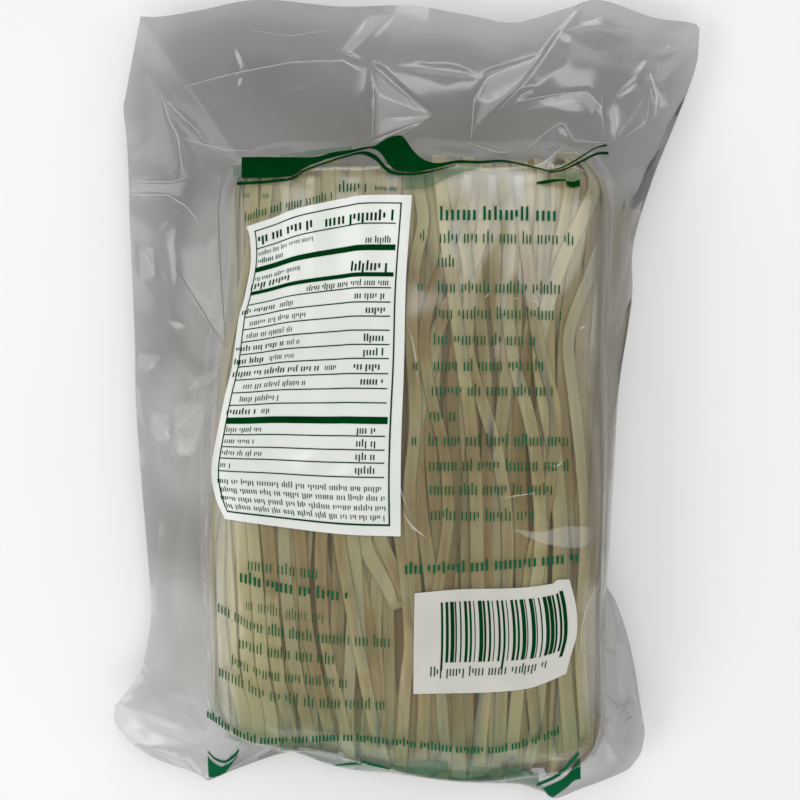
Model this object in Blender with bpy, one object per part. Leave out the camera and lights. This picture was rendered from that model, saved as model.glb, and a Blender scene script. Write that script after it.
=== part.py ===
"""A clear sealed bag round a block of dried flat rice noodles, lying with its printed side up.

X runs across the bag, Y along it towards its empty top end, and Z up from the surface it lies on.
The bag is one closed solid: the crowned block in the middle, the film drawn down from its
shoulders to a thin wavy rim, and the flat noodles that press through the film, fused on.
"""

import math
import random

import bmesh
import bpy
import numpy as np
from mathutils import Vector
from mathutils.bvhtree import BVHTree

# The block of noodles, in metres.
BLOCK_LEFT, BLOCK_RIGHT = -0.062, 0.062
BLOCK_FOOT, BLOCK_HEAD = -0.119, 0.074
BLOCK_THICKNESS = 0.042
CORNER_RADIUS = 0.018
SHOULDER = 0.011
BROW = 0.85
CROWN = 0.0026
# The foot end is cut back towards its left corner: by how much, from where across, and how far up.
FOOT_CUT = 0.0095
FOOT_CUT_FROM, FOOT_CUT_WIDTH = 0.012, 0.060
FOOT_CUT_UP = 0.090
# Its left side leans in towards the head: by how much, from where, and over what length.
HEAD_TAPER = 0.0075
TAPER_FROM, TAPER_UP = -0.030, 0.095

# The film round it.
RIM_THICKNESS = 0.0012
SNUG_WIDTH = 0.016
# Where the film leaves the shoulder: how far up it where the film is snug, and how far out and down
# where it is loose, as shares of the way to the rim.
SNUG_RISE = 0.6
LOOSE_OUT, LOOSE_DROP = 0.22, 0.78
RIM_WAVE, RIM_WAVES = 0.0016, 9

# The bag's outline seen from above, side by side, each from its first corner to its next. It is
# drawn at one height as seen from another, and spreads where the rim lies lower.
DRAWN_AT, SEEN_FROM = 0.017, 0.373
FOOT_EDGE = [
    (-0.0942, -0.0992), (-0.0932, -0.1062), (-0.0828, -0.1152), (-0.0683, -0.1207), (-0.0634, -0.1233),
    (-0.0585, -0.1178), (-0.0535, -0.1112), (-0.0430, -0.1120), (-0.0343, -0.1146), (-0.0214, -0.1190),
    (-0.0019, -0.1214), (0.0304, -0.1236), (0.0434, -0.1265), (0.0482, -0.1291), (0.0563, -0.1262),
    (0.0693, -0.1210), (0.0755, -0.1155), (0.0775, -0.1080),
]
RIGHT_EDGE = [
    (0.0775, -0.1080), (0.0752, -0.0935), (0.0724, -0.0788), (0.0682, -0.0658), (0.0650, -0.0597),
    (0.0657, -0.0518), (0.0676, -0.0194), (0.0690, 0.0040), (0.0732, 0.0324), (0.0737, 0.0500),
    (0.0799, 0.0712), (0.0877, 0.0906), (0.0938, 0.1070), (0.0951, 0.1170),
]
HEAD_EDGE = [
    (0.0951, 0.1170), (0.0938, 0.1216), (0.0806, 0.1236), (0.0628, 0.1294), (0.0530, 0.1269),
    (0.0353, 0.1220), (0.0207, 0.1243), (0.0013, 0.1275), (-0.0214, 0.1272), (-0.0472, 0.1294),
    (-0.0667, 0.1259), (-0.0796, 0.1239), (-0.0858, 0.1240),
]
LEFT_EDGE = [
    (-0.0858, 0.1240), (-0.0903, 0.1003), (-0.0913, 0.0939), (-0.0900, 0.0809), (-0.0890, 0.0518),
    (-0.0877, 0.0227), (-0.0870, -0.0065), (-0.0835, -0.0502), (-0.0822, -0.0680), (-0.0845, -0.0841),
    (-0.0876, -0.0910), (-0.0942, -0.0992),
]
SIDE_STEPS = (22, 24, 20, 24)
# Height of the rim at the four corners and half way along each side, in the same order.
RIM_HEIGHTS = [0.012, 0.020, 0.013, 0.021, 0.011, 0.015, 0.010, 0.017]

# The long folds of the slack film: two ends, how high the fold stands and how far it reaches.
FOLDS = [
    ((0.060, 0.128), (0.036, 0.097), 0.0045, 0.010),
    ((0.036, 0.097), (0.026, 0.080), 0.0030, 0.010),
    ((-0.010, 0.124), (-0.034, 0.106), 0.0035, 0.009),
    ((0.008, 0.090), (-0.010, 0.108), 0.0040, 0.009),
    ((-0.089, 0.068), (-0.068, 0.064), 0.0035, 0.008),
    ((-0.080, 0.050), (-0.074, -0.010), 0.0030, 0.008),
    ((-0.078, -0.040), (-0.066, -0.095), 0.0030, 0.009),
    ((-0.090, -0.102), (-0.062, -0.108), 0.0035, 0.008),
    ((0.076, -0.110), (0.060, -0.085), 0.0035, 0.008),
    ((0.088, 0.092), (0.070, 0.062), 0.0040, 0.009),
]
# A fold grows with the share of the way out from the shoulder, at this rate from this start.
FOLD_GROWTH, FOLD_START = 1.6, 0.3
INNER_RINGS = (0.45, 0.80, 1.0)
OUTER_RINGS = (0.18, 0.36, 0.54, 0.72, 0.87, 1.0)

# The noodles that press through the film: a row side by side, and a few that cross over it.
NOODLE_WIDTH = 0.0039
NOODLE_SUNK = 0.0028
NOODLE_PROUD = (0.0004, 0.0011)
NOODLE_SWAY, SWAY_TURN = 0.0018, 5.5
NOODLE_LEAN, LEAN_TURN = 0.0022, 0.55
PHASE_TURN = 0.35
NOODLE_REACH = (-0.1185, 0.0715)
HEAD_RAGGED = 0.0035
NOODLE_LOWEST = 0.026
ROW_COUNT, ROW_EDGE, ROW_JITTER = 25, 0.0075, 0.0005
CROSSING_COUNT = 9
CROSSING_LEAN = (0.007, 0.013)
CROSSING_PROUD = 0.0019
STATIONS, STATION_DRIFT = 12, 0.10
SEED = 7

FILM_OVER_NOODLES = (0.58, 0.55, 0.44, 1.0)


def clear_scene():
    for item in list(bpy.data.objects):
        bpy.data.objects.remove(item, do_unlink=True)


def smooth_line(points, count):
    """Evenly spaced points on a smooth curve through the given ones, without the last."""
    knots = np.array(points, float)
    knots = np.vstack([2 * knots[0] - knots[1], knots, 2 * knots[-1] - knots[-2]])
    steps = np.linspace(0, 1, 12, endpoint=False)[:, None]
    runs = []
    for a, b, c, d in zip(knots, knots[1:], knots[2:], knots[3:]):
        cubic = 2 * b + (c - a) * steps + (2 * a - 5 * b + 4 * c - d) * steps**2
        runs.append(0.5 * (cubic + (3 * b - a - 3 * c + d) * steps**3))
    line = np.vstack(runs + [knots[-2:-1]])
    length = np.concatenate([[0], np.cumsum(np.linalg.norm(np.diff(line, axis=0), axis=1))])
    at = np.linspace(0, length[-1], count, endpoint=False)
    return np.column_stack([np.interp(at, length, line[:, k]) for k in (0, 1)])


def bag_outline():
    """The four edges as one closed line round the origin."""
    sides = (FOOT_EDGE, RIGHT_EDGE, HEAD_EDGE, LEFT_EDGE)
    line = np.vstack([smooth_line(side, count) for side, count in zip(sides, SIDE_STEPS)])
    line *= ((SEEN_FROM - rim_heights()) / (SEEN_FROM - DRAWN_AT))[:, None]
    return line - (line.min(axis=0) + line.max(axis=0)) / 2


def foot_cut(x, y):
    """How far a place in the block's foot end is drawn back towards the middle."""
    middle = (BLOCK_FOOT + BLOCK_HEAD) / 2
    return FOOT_CUT * ease((FOOT_CUT_FROM - x) / FOOT_CUT_WIDTH) * ease((middle - y) / FOOT_CUT_UP)


def head_taper(x, y):
    """How far a place in the block's left half is drawn in on its way to the head."""
    return HEAD_TAPER * ease(x / BLOCK_LEFT) * ease((y - TAPER_FROM) / TAPER_UP)


def block_outline(inset):
    """The block's rounded rectangle, drawn in by inset, with a point for each of the bag's."""
    low = np.array([BLOCK_LEFT, BLOCK_FOOT]) + inset
    high = np.array([BLOCK_RIGHT, BLOCK_HEAD]) - inset
    radius = CORNER_RADIUS - inset * 0.6
    corners = [low, (high[0], low[1]), high, (low[0], high[1])]
    points = []
    for k, count in enumerate(SIDE_STEPS):
        start, end = np.array(corners[k]), np.array(corners[(k + 1) % 4])
        for f in np.linspace(0, 1, count, endpoint=False):
            sharp = start + (end - start) * f
            middle = np.clip(sharp, low + radius, high - radius)
            away = sharp - middle
            x, y = middle + away * radius / max(np.linalg.norm(away), 1e-9)
            x += head_taper(x, y)
            points.append((x, y + foot_cut(x, y)))
    return np.array(points)


def rim_heights():
    """The rim's height round the bag, easing between the named heights, with small waves."""
    at, knots, start = [], [], 0
    for side, count in enumerate(SIDE_STEPS):
        knots += [start, start + count / 2]
        at += [start + k for k in range(count)]
        start += count
    heights = np.interp(at, knots + [start], RIM_HEIGHTS + RIM_HEIGHTS[:1])
    turn = np.array(at) / start * 2 * math.pi
    return heights + RIM_WAVE * np.sin(RIM_WAVES * turn) * np.cos(2 * turn + 1)


def fold_lift(x, y):
    """How far the slack film is pushed up at a place by its long folds."""
    lift = 0.0
    place = np.array([x, y])
    for start, end, height, reach in FOLDS:
        start, along = np.array(start), np.subtract(end, start)
        f = np.clip(np.dot(place - start, along) / np.dot(along, along), 0, 1)
        away = np.linalg.norm(place - start - along * f)
        lift += height * max(0.0, 1 - away / reach)
    return lift


def ease(value):
    value = min(max(value, 0.0), 1.0)
    return value * value * (3 - 2 * value)


def bezier(a, b, c, d, s):
    return a * (1 - s) ** 3 + 3 * b * s * (1 - s) ** 2 + 3 * c * s * s * (1 - s) + d * s**3


def sheet_rings(face, rim_side):
    """Rings of points for one film, from the middle of a face out to the rim."""
    inner, shoulder, outer = block_outline(SHOULDER), block_outline(0.0), bag_outline()
    heights = rim_heights()
    centre = inner.mean(axis=0)
    rings = []
    for share in INNER_RINGS:
        crown = CROWN * (1 - share**2) if face > 0 else 0.0
        rings.append([(*(centre + (p - centre) * share), face + crown) for p in inner])
    for s in OUTER_RINGS:
        ring = []
        for p, q, r, rim in zip(inner, shoulder, outer, heights):
            rim_z = rim + rim_side * RIM_THICKNESS / 2
            slack = ease(np.linalg.norm(r - q) / SNUG_WIDTH)
            start = np.array([*p, face])
            end = np.array([*r, rim_z])
            brow = np.array([*(p + (q - p) * BROW), face])
            snug = np.array([*r, rim_z + (face - rim_z) * SNUG_RISE])
            loose = np.array([*(q + (r - q) * LOOSE_OUT), face + (rim_z - face) * LOOSE_DROP])
            x, y, z = bezier(start, brow, snug + (loose - snug) * slack, end, s)
            grown = ease(FOLD_GROWTH * s - FOLD_START)
            ring.append((x, y, z + fold_lift(x, y) * slack * grown))
        rings.append(ring)
    return (centre[0], centre[1], face + (CROWN if face > 0 else 0.0)), rings


def add_sheet(shape, middle, rings, upward):
    """Faces of one film as a fan and rings; gives back its outermost ring of points."""
    tip = shape.verts.new(middle)
    rows = [[shape.verts.new(p) for p in ring] for ring in rings]
    count = len(rows[0])
    for k in range(count):
        nxt = (k + 1) % count
        faces = [(tip, rows[0][k], rows[0][nxt])]
        for a, b in zip(rows, rows[1:]):
            faces += [(a[k], b[k], b[nxt]), (a[k], b[nxt], a[nxt])]
        for face in faces:
            shape.faces.new(face if upward else face[::-1])
    return rows[-1]


def bag_form():
    """The bag's closed form without the noodles' relief."""
    shape = bmesh.new()
    top_middle, top_rings = sheet_rings(BLOCK_THICKNESS - CROWN, 1)
    low_middle, low_rings = sheet_rings(0.0, -1)
    top = add_sheet(shape, top_middle, top_rings, True)
    low = add_sheet(shape, low_middle, low_rings, False)
    for k in range(len(top)):
        nxt = (k + 1) % len(top)
        shape.faces.new((top[k], low[k], low[nxt]))
        shape.faces.new((top[k], low[nxt], top[nxt]))
    bmesh.ops.recalc_face_normals(shape, faces=shape.faces)
    return shape


def noodle_stations(surface, x, lean, sway, phase, proud, last):
    """Points up one noodle on the film, each with the way up and the way across."""
    first = NOODLE_REACH[0]
    stations = []
    for k in range(STATIONS):
        f = k / (STATIONS - 1)
        y = first + (last - first) * (f + STATION_DRIFT * math.sin(2 * math.pi * f) * (f - 1))
        place_x = x + lean * (2 * f - 1) + sway * math.sin(phase + SWAY_TURN * f)
        spot, normal, _, _ = surface.ray_cast(Vector((place_x, y, 0.1)), Vector((0, 0, -1)))
        if spot is None or spot.z < NOODLE_LOWEST:
            continue
        across = Vector((1, 0, 0)) - normal * normal.x
        stations.append((spot + normal * proud, normal, across.normalized()))
    return stations


def noodle_solid(stations):
    """A flat strip through the stations, four-sided, with closed ends."""
    strip = bmesh.new()
    rows = []
    for spot, normal, across in stations:
        half = across * NOODLE_WIDTH / 2
        low = spot - normal * NOODLE_SUNK
        ring = (low - half, low + half, spot + half * 0.86, spot - half * 0.86)
        rows.append([strip.verts.new(p) for p in ring])
    for a, b in zip(rows, rows[1:]):
        for k in range(4):
            nxt = (k + 1) % 4
            strip.faces.new((a[k], a[nxt], b[nxt]))
            strip.faces.new((a[k], b[nxt], b[k]))
    strip.faces.new(rows[0][::-1])
    strip.faces.new(rows[-1])
    bmesh.ops.recalc_face_normals(strip, faces=strip.faces)
    return strip


def to_object(shape, name, collection):
    mesh = bpy.data.meshes.new(name)
    shape.to_mesh(mesh)
    shape.free()
    item = bpy.data.objects.new(name, mesh)
    collection.objects.link(item)
    return item


def noodles(surface, collection):
    """The noodles that show: the row across the block, then those that cross over it."""
    draw = random.Random(SEED)
    left, right = BLOCK_LEFT + ROW_EDGE, BLOCK_RIGHT - ROW_EDGE
    kinds = []
    for k in range(ROW_COUNT):
        x = left + (right - left) * k / (ROW_COUNT - 1) + draw.uniform(-ROW_JITTER, ROW_JITTER)
        lean = NOODLE_LEAN * math.sin(LEAN_TURN * k)
        sway = NOODLE_SWAY * draw.uniform(0.4, 1.0)
        kinds.append((x, lean, sway, PHASE_TURN * k + draw.uniform(-0.5, 0.5), NOODLE_PROUD[k % 2]))
    for k in range(CROSSING_COUNT):
        x = left + (right - left) * (k + 0.5 + draw.uniform(-0.3, 0.3)) / CROSSING_COUNT
        lean = draw.uniform(*CROSSING_LEAN) * (1 if k % 3 else -1)
        lean *= min(1.0, (min(x - left, right - x) + 0.004) / CROSSING_LEAN[1])
        sway = NOODLE_SWAY * draw.uniform(0.5, 1.4)
        kinds.append((x, lean, sway, draw.uniform(0, 6), CROSSING_PROUD))
    for k, kind in enumerate(kinds):
        last = NOODLE_REACH[1] + draw.uniform(-HEAD_RAGGED, HEAD_RAGGED)
        stations = noodle_stations(surface, *kind, last)
        to_object(noodle_solid(stations), f"noodle_{k:02d}", collection)


def fuse(item, collection):
    """Joins a collection's solids to the item and removes them."""
    union = item.modifiers.new("fused_noodles", "BOOLEAN")
    union.operation = "UNION"
    union.solver = "MANIFOLD"
    union.operand_type = "COLLECTION"
    union.collection = collection
    shapes = bpy.context.evaluated_depsgraph_get()
    fused = bpy.data.meshes.new_from_object(item.evaluated_get(shapes))
    item.modifiers.clear()
    item.data = fused
    for strip in list(collection.objects):
        bpy.data.objects.remove(strip, do_unlink=True)
    bpy.data.collections.remove(collection)


def film_material():
    material = bpy.data.materials.new("clear_film_over_noodles")
    material.use_nodes = True
    shader = material.node_tree.nodes["Principled BSDF"]
    shader.inputs["Base Color"].default_value = FILM_OVER_NOODLES
    shader.inputs["Roughness"].default_value = 0.18
    shader.inputs["Metallic"].default_value = 0.0
    return material


def main():
    clear_scene()
    scene = bpy.context.scene
    shape = bag_form()
    surface = BVHTree.FromBMesh(shape)
    bag = to_object(shape, "noodle_pack", scene.collection)
    strips = bpy.data.collections.new("strips")
    scene.collection.children.link(strips)
    noodles(surface, strips)
    fuse(bag, strips)
    bag.data.materials.clear()
    bag.data.materials.append(film_material())
    bag.data.shade_smooth()
    bag.data.set_sharp_from_angle(angle=math.radians(35))


main()
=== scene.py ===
"""The looks of a clear bag of dried flat rice noodles: its film, its noodles and its print.

The bag lies on its front with its printed back up. X runs across it, Y along it towards its empty
top end, Z up. Sizes are in metres, and the form of the bag is worked out from the same driving
sizes as the solid that this film and these noodles stand for.
"""

import itertools
import math
import random

import bpy
import numpy as np
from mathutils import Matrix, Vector
from mathutils.bvhtree import BVHTree
from mathutils.geometry import delaunay_2d_cdt


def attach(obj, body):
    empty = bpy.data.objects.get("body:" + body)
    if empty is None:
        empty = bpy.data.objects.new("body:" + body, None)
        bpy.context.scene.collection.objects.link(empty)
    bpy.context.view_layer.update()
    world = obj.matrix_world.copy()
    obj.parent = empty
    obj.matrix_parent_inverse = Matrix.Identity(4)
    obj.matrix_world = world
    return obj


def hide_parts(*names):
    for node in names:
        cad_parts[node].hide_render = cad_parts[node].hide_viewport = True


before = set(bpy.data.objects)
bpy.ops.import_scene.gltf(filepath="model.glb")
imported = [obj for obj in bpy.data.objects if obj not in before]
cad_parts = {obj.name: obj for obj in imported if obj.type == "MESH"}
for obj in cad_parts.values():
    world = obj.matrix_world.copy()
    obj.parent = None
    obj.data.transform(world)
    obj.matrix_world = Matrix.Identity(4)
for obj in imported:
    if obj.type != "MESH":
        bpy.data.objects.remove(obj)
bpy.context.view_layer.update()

NODE = "noodle_pack"

# -------- the bag's driving sizes
BLOCK_LEFT, BLOCK_RIGHT = -0.062, 0.062
BLOCK_FOOT, BLOCK_HEAD = -0.119, 0.074
BLOCK_MIDDLE = np.array([BLOCK_LEFT + BLOCK_RIGHT, BLOCK_FOOT + BLOCK_HEAD]) / 2
BLOCK_THICKNESS = 0.042
CORNER_RADIUS, INSET_ROUNDING = 0.018, 0.6
SHOULDER = 0.011
BROW = 0.85
CROWN, CROWN_POWER = 0.0026, 0.8
FOOT_CUT = 0.0095
FOOT_CUT_FROM, FOOT_CUT_WIDTH = 0.012, 0.06
FOOT_CUT_UP = 0.09
HEAD_TAPER = 0.0075
TAPER_FROM, TAPER_UP = -0.03, 0.095
SNUG_WIDTH = 0.016
SNUG_RISE = 0.6
LOOSE_OUT, LOOSE_DROP = 0.22, 0.78
GIVE_GROWTH = 2.6
RIM_WAVE, RIM_WAVES = 0.0016, 9
DRAWN_AT, SEEN_FROM = 0.017, 0.373
# How many points a smooth curve gets between two given ones.
CURVE_STEPS = 12
FOOT_EDGE = [
    (-0.0942, -0.0992), (-0.0932, -0.1062), (-0.0828, -0.1152), (-0.0683, -0.1207), (-0.0634, -0.1233),
    (-0.0585, -0.1178), (-0.0535, -0.1112), (-0.043, -0.112), (-0.0343, -0.1146), (-0.0214, -0.119),
    (-0.0019, -0.1214), (0.0304, -0.1236), (0.0434, -0.1265), (0.0482, -0.1291), (0.0563, -0.1262),
    (0.0693, -0.121), (0.0755, -0.1155), (0.0775, -0.108),
]
RIGHT_EDGE = [
    (0.0775, -0.108), (0.0752, -0.0935), (0.0724, -0.0788), (0.0682, -0.0658), (0.065, -0.0597),
    (0.0657, -0.0518), (0.0676, -0.0194), (0.069, 0.004), (0.0732, 0.0324), (0.0737, 0.05),
    (0.0799, 0.0712), (0.0877, 0.0906), (0.0938, 0.107), (0.0951, 0.117),
]
HEAD_EDGE = [
    (0.0951, 0.117), (0.0938, 0.1216), (0.0806, 0.1236), (0.0628, 0.1294), (0.053, 0.1269),
    (0.0353, 0.122), (0.0207, 0.1243), (0.0013, 0.1275), (-0.0214, 0.1272), (-0.0472, 0.1294),
    (-0.0667, 0.1259), (-0.0796, 0.1239), (-0.0858, 0.124),
]
LEFT_EDGE = [
    (-0.0858, 0.124), (-0.0903, 0.1003), (-0.0913, 0.0939), (-0.09, 0.0809), (-0.089, 0.0518),
    (-0.0877, 0.0227), (-0.087, -0.0065), (-0.0835, -0.0502), (-0.0822, -0.068), (-0.0845, -0.0841),
    (-0.0876, -0.091), (-0.0942, -0.0992),
]
SIDE_STEPS = (22, 24, 20, 24)
RIM_HEIGHTS = [0.012, 0.02, 0.013, 0.021, 0.011, 0.015, 0.01, 0.017]

# -------- the camera and the photo plane
FRAME_PX = 800
FOCAL_PX = 1100
CAMERA_PLACE = (-0.0025, -0.0015, 0.373)
SENSOR_MM = 36.0

# -------- the light and the floor
WORLD_COLOUR = (0.97, 0.985, 1.0, 1)
WORLD_BRIGHT_WAY = (-0.3, -0.45, 0.7)
WORLD_STRENGTH = (0.26, 0.56)
FLOOR_SIZE, FLOOR_GAP = 4, 0.0001
# Name, place, aim, size and brightness of each soft light.
LIGHTS = [
    ("beyond_head", (0.1, 0.85, 0.55), (0, 0.02, 0), (0.6, 0.12), 5.0),
    ("left_foot", (-0.75, -0.5, 0.6), (0, 0, 0), (0.5, 0.4), 1.8),
    ("right", (0.8, -0.1, 0.6), (0, 0, 0), (0.3, 0.4), 1.8),
    ("over_foot", (0.05, -0.9, 1.0), (0, 0, 0), (0.9, 0.4), 2.6),
    ("over_face", (0.18, 0.275, 1.0), (0.18, 0.275, 0), (0.52, 0.25), 4.2),
    ("over_head", (0.08, 0.64, 0.99), (0.08, 0.64, 0), (0.26, 0.36), 4.0),
    ("over_left", (-0.8, -0.36, 0.88), (-0.8, -0.36, 0), (0.56, 0.72), 3.0),
]

# -------- the colours
# The colours of each material, from the low to the high end of an even noise: share and colour.
COLOURS = {
    "clear_film": [(0.35, (0.86, 0.86, 0.85)), (0.65, (1.0, 1.0, 0.985))],
    "rice_noodle": [(0.15, (0.27, 0.174, 0.048)), (0.55, (0.44, 0.322, 0.103)), (1.0, (0.83, 0.72, 0.385))],
    # The next four are painted light on the film: highlights on creases and glints, shade in valleys,
    # highlights and sheens, brownish shade right of the bundle.
    "painted_highlight_film": [(0.3, (0.8, 0.8, 0.78)), (0.7, (0.9, 0.9, 0.88))],
    "painted_shade_film": [(0.3, (0.1, 0.09, 0.08)), (0.7, (0.16, 0.15, 0.13))],
    "painted_glint_film": [(0.3, (0.84, 0.84, 0.82)), (0.7, (0.92, 0.92, 0.9))],
    "painted_shade_veil": [(0.3, (0.22, 0.196, 0.145)), (0.7, (0.255, 0.232, 0.18))],
    "green_ink": [(0.3, (0.0003, 0.03, 0.005)), (0.75, (0.0007, 0.042, 0.008))],
    "thin_green_ink": [(0.3, (0.004, 0.085, 0.032)), (0.75, (0.007, 0.11, 0.045))],
    "white_ink": [(0.3, (0.66, 0.68, 0.64)), (0.75, (0.73, 0.75, 0.7))],
    "thin_white_ink": [(0.3, (0.51, 0.5, 0.45)), (0.75, (0.585, 0.575, 0.525))],
    "green_wash": [(0.3, (0.02, 0.12, 0.06)), (0.75, (0.05, 0.2, 0.11))],
    "green_tint": [(0.3, (0.05, 0.2, 0.1)), (0.75, (0.08, 0.26, 0.14))],
    "pale_floor": [(0.3, (0.85, 0.85, 0.845)), (0.75, (0.88, 0.88, 0.875))],
}
# How much of a thin layer is its colour; the rest of it is clear.
THIN_SHARES = {
    "painted_highlight_film": 0.3, "painted_shade_film": 0.45, "painted_glint_film": 0.12, "painted_shade_veil": 0.8,
    "green_wash": 0.4, "green_tint": 0.17,
}
# How fine the grain of the colours is, and the rest of the looks.
INK = (90, 90, 90), {"Roughness": 0.5, "Specular IOR Level": 0.0}
LABEL, THIN = ((60, 60, 60), {"Roughness": 0.25}), ((150, 150, 150), {"Roughness": 0.25})
FLOOR = (8, 8, 8), {"Roughness": 0.7}
FILM_GRAIN, HAZE_LOOK = (32, 32, 32), {"Roughness": 0.4, "Specular IOR Level": 0.2}
NOODLE_GRAIN, NOODLE_STREAKS, NOODLE_LOOK = (900, 60, 900), 0.35, {
    "Roughness": 0.36, "Subsurface Weight": 0.8, "Subsurface Scale": 0.0025,
    "Subsurface Radius": (1.0, 0.9, 0.65),
}
# From calm to haziest film: how white its haze is, the whitest partly painted light, how strong its haze is,
# how clear it is, how rough its shine.
HAZE_WHITE, HAZE_SHARE, FILM_CLEAR, GLOSS_ROUGH = (0.4, 0.95), (0.03, 0.32), (0.85, 0.76), (0.13, 0.09)
GLOSS_COLOUR, FILM_IOR = (0.92, 0.92, 0.92, 1), 1.5

# -------- the film
FILM_ACROSS, FILM_ALONG = 256, 352
FACE_SHARE = 0.46
# The film's folded nets: how far they reach, how unevenly their points are scattered, and then the pitch,
# the height and the seed of the coarse one and of the fine one.
NET_REACH, NET_UNEVEN = (0.104, 0.14), 0.42
NET_PITCH, NET_HEIGHT, NET_SEED = (0.013, 0.017), 0.0008, 11
FINE_PITCH, FINE_HEIGHT, FINE_SEED = (0.006, 0.008), 0.00012, 23
# How the film rests on the noodles: over which height, how far it may sink, and the grid that says so,
# whose cells are first spread and then smoothed for so many rounds.
FACE_FROM, FACE_EASE = 0.03, 0.006
RESTS_FROM, FILM_SAG, FILM_GAP = 0.02, 0.0006, 0.00035
SPAN_LOW, SPAN_STEP, SPAN_CELLS, SPAN_RIM = (-0.075, -0.135), 0.001, (150, 230), 1.001
SPREAD_ROUNDS, SMOOTH_ROUNDS = 4, 10
# Where the film is most crumpled, and where it is haziest and whitest, partly painted light: middle, reach
# and how much.
CALM = 0.3
CRUMPLED = [
    ((-0.08, 0.075), (0.014, 0.02), 0.25), ((-0.072, -0.006), (0.014, 0.028), 0.8),
    ((0.074, 0.082), (0.012, 0.018), 0.5), ((0.072, -0.095), (0.012, 0.025), 0.4),
    ((-0.078, -0.1), (0.018, 0.015), 0.5),
]
CALM_HAZE = 0.5
HAZY_AND_LIT = [
    ((-0.078, -0.088), (0.022, 0.022), 0.95), ((-0.085, -0.108), (0.02, 0.015), 0.8),
    ((-0.07, -0.012), (0.01, 0.016), 0.7), ((-0.062, 0.035), (0.007, 0.02), 0.7),
    ((0.07, -0.095), (0.012, 0.022), 0.4),
]
# Creases: points in pixels of the photo plane, height in metres, how wide each one slopes down on its
# left and on its right, in pixels, for someone who walks along it on the photo, and where it is highest.
# Each crease carries a painted line: a painted highlight where its height is positive, painted shade where
# it is negative.
CREASES = [
    ([(589, -4), (562, 30), (546, 54), (523, 85), (496, 113)], 0.0009, 22, 5, 0.45),
    ([(399, 8), (375, 29), (350, 52)], 0.0004, 10, 3, 0.5),
    ([(371, 11), (354, 30), (341, 52)], 0.0005, 8, 3, 0.5),
    ([(333, 46), (341, 52), (367, 63)], 0.0005, 3, 5, 0.5),
    ([(183, 87), (235, 73), (293, 62), (342, 60), (363, 73)], 0.0012, 4, 30, 0.6),
    ([(371, 66), (374, 100), (372, 140)], 0.0009, 3, 12, 0.4),
    ([(233, 46), (237, 60), (242, 74)], 0.0005, 3, 6, 0.5),
    ([(433, 115), (415, 101), (371, 63)], 0.0014, 22, 4, 0.85),
    ([(433, 116), (402, 130), (372, 142)], 0.001, 4, 16, 0.85),
    ([(431, 115), (382, 119)], 0.0004, 4, 5, 0.7),
    ([(543, 55), (488, 77), (474, 99), (471, 142)], 0.0014, 26, 6, 0.45),
    ([(466, 142), (500, 153), (517, 151)], 0.0007, 3, 14, 0.5),
    ([(515, 102), (557, 94), (587, 92), (601, 106), (604, 134)], 0.001, 3, 26, 0.6),
    ([(512, 106), (524, 94), (537, 87)], 0.0006, 8, 3, 0.5),
    ([(523, 152), (549, 130), (563, 122), (574, 141), (609, 143)], 0.001, 3, 22, 0.5),
    ([(614, 142), (617, 120), (613, 98)], 0.0018, 4, 12, 0.5),
    ([(655, 118), (657, 98), (650, 72)], 0.002, 5, 18, 0.5),
    ([(621, 140), (647, 121), (650, 90)], 0.0007, 10, 4, 0.5),
    ([(636, 76), (649, 60)], 0.0005, 3, 6, 0.5),
    ([(601, 118), (602, 95)], 0.0008, 4, 9, 0.5),
    ([(537, 174), (549, 158), (564, 146)], 0.0009, 12, 4, 0.5),
    ([(392, 66), (425, 66), (461, 70), (484, 80)], 0.0005, 3, 20, 0.6),
    ([(654, 53), (686, 47)], 0.0005, 3, 5, 0.5),
    ([(560, 30), (600, 24), (640, 34)], 0.0006, 6, 24, 0.5),
    ([(250, 30), (290, 36), (330, 30)], 0.0005, 5, 22, 0.5),
    ([(126, 181), (172, 182), (190, 176)], 0.0009, 4, 12, 0.6),
    ([(126, 195), (168, 195), (186, 206), (200, 224)], 0.0012, 5, 14, 0.6),
    ([(161, 92), (169, 120), (178, 136), (183, 174)], 0.0012, 16, 5, 0.5),
    ([(165, 99), (182, 117), (204, 136)], 0.001, 6, 12, 0.4),
    ([(178, 136), (196, 142), (224, 150), (252, 151)], 0.0009, 4, 18, 0.6),
    ([(172, 262), (196, 300), (226, 349)], -0.0016, 12, 14, 0.55),
    ([(222, 176), (218, 212), (220, 262), (226, 349)], -0.0012, 9, 10, 0.4),
    ([(204, 404), (180, 425), (168, 440)], 0.001, 12, 8, 0.5),
    ([(206, 737), (196, 742), (186, 746)], 0.0006, 3, 4, 0.5),
    ([(140, 745), (165, 752), (188, 760), (206, 782)], 0.001, 5, 10, 0.6),
    ([(606, 566), (599, 584), (587, 606), (582, 626), (581, 652), (574, 674)], 0.0008, 12, 5, 0.4),
    ([(604, 649), (617, 654)], -0.0005, 4, 4, 0.5),
    ([(616, 708), (636, 700)], -0.0005, 4, 5, 0.5),
    ([(600, 714), (608, 722), (606, 732)], -0.0005, 5, 4, 0.5),
]
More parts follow.
